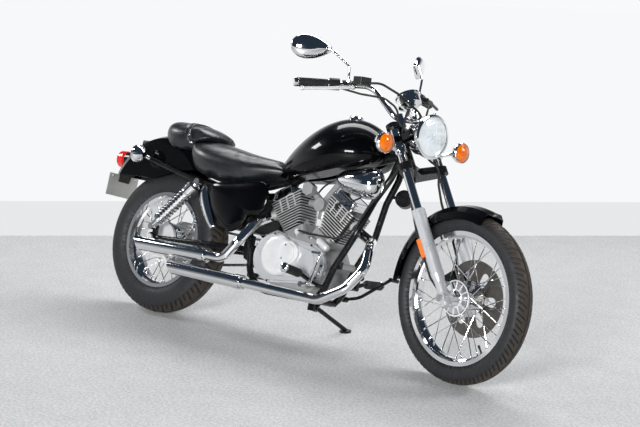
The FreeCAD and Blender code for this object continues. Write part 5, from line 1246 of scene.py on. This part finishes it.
def makeGripTrim():
    heading = unit(np.subtract(grip["bar"], grip["end"]))

    def ringAt(distance, rings):
        return lathe(rings, grip["end"] + heading * distance, heading, 32)

    brights = [ringAt(*bright) for bright in grip["brights"]]
    ribs = [ringAt(distance, grip["rib"]) for distance in np.arange(*grip["ribs"])]
    addPiece("gripBrights", bothSides(brights), "chrome", "steering_body")
    addPiece("gripRibs", bothSides(ribs), "black_rubber", "steering_body")


hub = {
    "ribs": 12,
    "inner": (33, -42.5),
    "outer": (61, -39.6),
    "rib": (2.0, 1.6),
    "rings": ((63.0, -39.6, (3.0, 2.0)), (32.0, -42.0, (2.4, 2.0))),
    "web": ((0.0, 33.5), (0.4, 33.5), (0.4, 60.0), (0.0, 60.0)),
    "webFace": -39.1,
}


def makeHubRibs():
    ribs = []
    for turn in np.arange(hub["ribs"]) * 2 * math.pi / hub["ribs"]:
        path = [frontHub + outward(turn, *hub[key]) for key in ("inner", "outer")]
        ribs.append(sweep(path, hub["rib"], (0, 1, 0), square=True))
    for radius, y, half in hub["rings"]:
        path = roundRing(frontHub[[0, 2]], radius, np.arange(0, 360, 5), y)
        ribs.append(sweep(path, half, (0, 1, 0), closed=True))
    addPiece("hubRibs", joined(ribs), "cast_alloy", "front_wheel_body")
    web = lathe(hub["web"], frontHub + (0, hub["webFace"], 0), (0, -1, 0), 48)
    addPiece("hubWeb", (web[0], web[1][:-2] + gridQuads(2, 48, False, True).tolist()),
             "black_metal", "front_wheel_body")


makeMirrors()
makeGripTrim()
makeHubRibs()
print("mirrors, grip ends and hub ribs")


# air cleaner: a chromed half egg on its flange

airEgg = {
    "rear": 862.0,
    "front": 1078.0,
    "z": 667.0,
    "inner": -60.0,
    "flange": -55.8,
    "bead": (3.2, 2.6),
    "beadOut": 2.5,
    "beadY": -58.5,
    "shape": ((0.0, 0.0), (0.012, 12.0), (0.05, 22.5), (0.12, 31.5), (0.24, 40.0), (0.4, 48.0),
              (0.56, 54.0), (0.7, 56.5), (0.8, 54.5), (0.88, 48.0), (0.945, 36.0),
              (0.985, 20.0), (1.0, 0.0)),
}


def makeAirEgg(egg):
    share, reach = smoothPath(egg["shape"], 5).T
    x = egg["rear"] + share * (egg["front"] - egg["rear"])
    reach = np.clip(reach, 0.05, None)
    turn = np.linspace(0, math.pi, 37)
    points = np.stack([x[:, None] + 0 * turn, egg["inner"] - reach[:, None] * np.sin(turn),
                       egg["z"] + reach[:, None] * np.cos(turn)], -1)
    shell = turnedOver((points.reshape(-1, 3), gridQuads(len(x), len(turn)).tolist()))
    upper = np.stack([x, np.full(len(x), egg["beadY"]), egg["z"] + reach + egg["beadOut"]], 1)
    lower = upper[::-1] * (1, 1, -1) + (0, 0, 2 * egg["z"])
    rim = np.concatenate([upper[1:-1], lower[1:-1]])
    bead = sweep(rim, egg["bead"], (0, 1, 0), closed=True)
    piece = addPiece("airEgg", joined([shell, bead]), "chrome", edge=60)
    plate = capped([rim * (1, 0, 1) + (0, egg[key], 0) for key in ("flange", "inner")])
    addPiece("airEggPlate", plate, "black_metal")
    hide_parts("air_cleaner")


makeAirEgg(airEgg)
print("air cleaner")


# footrests: ribs on the rubbers and a bright knob at each end

footrest = {
    "pegs": (((864.0, -183.0, 280.4), (864.0, -272.0, 289.4)),
             ((930.0, 172.0, 290.8), (930.0, 272.0, 296.5))),
    "ribs": 9,
    "rib": ((-3.4, 14.2), (-2.6, 17.0), (2.6, 17.0), (3.4, 14.2)),
    "knob": ((-1.0, 17.0), (1.5, 19.0), (6.0, 19.0), (11.5, 16.0), (14.5, 9.5), (15.5, 1.0)),
}


def makeFootrests(rest):
    ribs, knobs = [], []
    for inner, outer in np.array(rest["pegs"]):
        for share in (np.arange(rest["ribs"]) + 0.5) / rest["ribs"]:
            ribs.append(lathe(rest["rib"], inner + (outer - inner) * share, outer - inner, 28))
        knobs.append(lathe(rest["knob"], outer, outer - inner, 32))
    addPiece("footrestRibs", joined(ribs), "black_rubber")
    addPiece("footrestKnobs", joined(knobs), "chrome")


makeFootrests(footrest)
print("footrests")


# studio

studio = {
    "cameraFromAxle": (3.947531, -3.965176, 1.226559),
    "yaw": 0.668075446,
    "pitch": 0.194857064,
    "roll": math.radians(0.8078),
    "lens": 74.85,
    "wallDistance": 7.07,
    "skirtingDistance": 8.07,
    "wallTurn": math.radians(3.8),
    "fade": (4.5, 9.0),
    "floorHalf": 30.0,
    "floorTone": 0.66,
    "skirting": (0.80, 0.81, 0.82),
    "wall": (0.93, 0.94, 0.95),
    "darkRoom": (0.022, 0.034, 0.052),
    "paleRoom": (0.92, 0.93, 0.95),
    "seenRoom": (0.94, 0.95, 0.96, 1),
}
# name, place, aim, width, height and power
lightBoxes = (
    ("overheadLight", (-0.3, 1.9, 3.4), (0, 1.0, 0), 4.6, 1.0, 120),
    ("cameraSideLight", (1.6, -6.4, 2.3), (0, 0, 0.7), 2.3, 1.1, 430),
    ("rearLight", (-3.4, -1.0, 2.6), (0, 0, 0.5), 0.9, 0.6, 40),
    ("frontLight", (3.6, 1.2, 2.4), (0.2, 0, 0.5), 0.9, 0.6, 46),
)


def studioEye():
    return Vector(joints["rear_wheel_spin"]["pos_m"]) + Vector(studio["cameraFromAxle"])


def towardsWall():
    angle = studio["yaw"] + studio["wallTurn"]
    return Vector((-math.sin(angle), math.cos(angle), 0))


def makeCamera():
    camera = bpy.data.objects.new("studioCamera", bpy.data.cameras.new("studioCamera"))
    bpy.context.scene.collection.objects.link(camera)
    yaw, pitch, roll = studio["yaw"], studio["pitch"], studio["roll"]
    look = Vector((-math.sin(yaw) * math.cos(pitch), math.cos(yaw) * math.cos(pitch),
                   -math.sin(pitch)))
    side = Vector((math.cos(yaw), math.sin(yaw), 0))
    top = side.cross(look)
    across = side * math.cos(roll) + top * math.sin(roll)
    above = top * math.cos(roll) - side * math.sin(roll)
    turn = Matrix((across, above, -look)).transposed().to_4x4()
    camera.matrix_world = Matrix.Translation(studioEye()) @ turn
    camera.data.sensor_fit = "HORIZONTAL"
    camera.data.sensor_width = 36.0
    camera.data.lens = studio["lens"]
    bpy.context.scene.camera = camera


def makeStageFinish():
    # speckled grey floor, which turns into the pale skirting and the white wall past the wall line
    finish, tree, shader = newFinish("speckledFloor", Roughness=0.42)
    tone = studio["floorTone"]
    speck = addRange(tree, addNoise(tree, 95, 2, 0.6), 0.0, 1.0, 0.4, 0.6)
    fleck = addRange(tree, addNoise(tree, 9, 5, 0.7), 0.0, 1.0, 0.35, 0.65)
    grain = addColours(tree, speck, [0.7 * tone, 0.7 * tone, 0.69 * tone], [1.16 * tone] * 3)
    cloud = addColours(tree, fleck, [0.9 * tone] * 3, [1.08 * tone] * 3)
    tree.links.new(addColours(tree, 0.45, grain, cloud), shader.inputs["Base Color"])
    ahead = addDot(tree, objectPlace(tree), towardsWall())
    skirtingLine, wallLine = (
        addMath(tree, "GREATER_THAN", ahead, towardsWall().dot(studioEye()) + studio[key])
        for key in ("skirtingDistance", "wallDistance"))
    backdrop = addColours(tree, skirtingLine, studio["skirting"], studio["wall"])
    white = addNode(tree, "Emission", {"Color": backdrop})
    # and it fades to the same white all round, far from the object
    reach = addNode(tree, "VectorMath", {0: objectPlace(tree)}, "Value", operation="LENGTH")
    fade = addRange(tree, reach, 0.0, 1.0, *studio["fade"])
    share = addMath(tree, "MAXIMUM", wallLine, fade)
    surface = addNode(tree, "MixShader", {"Fac": share, 1: shader.outputs["BSDF"], 2: white})
    tree.links.new(surface, tree.nodes["Material Output"].inputs["Surface"])
    return finish


def makeFloor():
    mesh = bpy.data.meshes.new("studioFloor")
    half = studio["floorHalf"]
    mesh.from_pydata([(-half, -half, 0), (half, -half, 0), (half, half, 0), (-half, half, 0)], [],
                     [(0, 1, 2, 3)])
    mesh.materials.append(makeStageFinish())
    floor = bpy.data.objects.new("studioFloor", mesh)
    bpy.context.scene.collection.objects.link(floor)


def makeWorld():
    # the far walls are white up to a dark ceiling, and the near side of the room is dark, so gloss
    # and chrome show a dark room above a pale floor
    world = bpy.data.worlds.new("studioAir")
    bpy.context.scene.world = world
    world.use_nodes = True
    tree = world.node_tree
    heading = addNode(tree, "TexCoord", {}, "Generated")
    far = addRange(tree, addDot(tree, heading, towardsWall()), 0.0, 1.0, -0.25, 0.3)
    height = addNode(tree, "SeparateXYZ", {"Vector": heading}, "Z")
    low = addRange(tree, height, 1.0, 0.0, 0.12, 0.4)
    room = addColours(tree, addMath(tree, "MULTIPLY", far, low), studio["darkRoom"],
                      studio["paleRoom"])
    air = addNode(tree, "Background", {"Color": room, "Strength": 1.0})
    seen = addNode(tree, "Background", {"Color": studio["seenRoom"], "Strength": 1.0})
    cameraRay = addNode(tree, "LightPath", {}, "Is Camera Ray")
    surface = addNode(tree, "MixShader", {"Fac": cameraRay, 1: air, 2: seen})
    tree.links.new(surface, tree.nodes["World Output"].inputs["Surface"])


def makeLights():
    for name, spot, aim, width, height, power in lightBoxes:
        data = bpy.data.lights.new(name, "AREA")
        data.shape = "RECTANGLE"
        data.size = width
        data.size_y = height
        data.energy = power
        lamp = bpy.data.objects.new(name, data)
        bpy.context.scene.collection.objects.link(lamp)
        lamp.location = spot
        lamp.rotation_euler = (Vector(aim) - Vector(spot)).to_track_quat("-Z", "Y").to_euler()


makeCamera()
makeFloor()
makeWorld()
makeLights()
bpy.context.scene.view_settings.view_transform = "Standard"
print("studio ready")
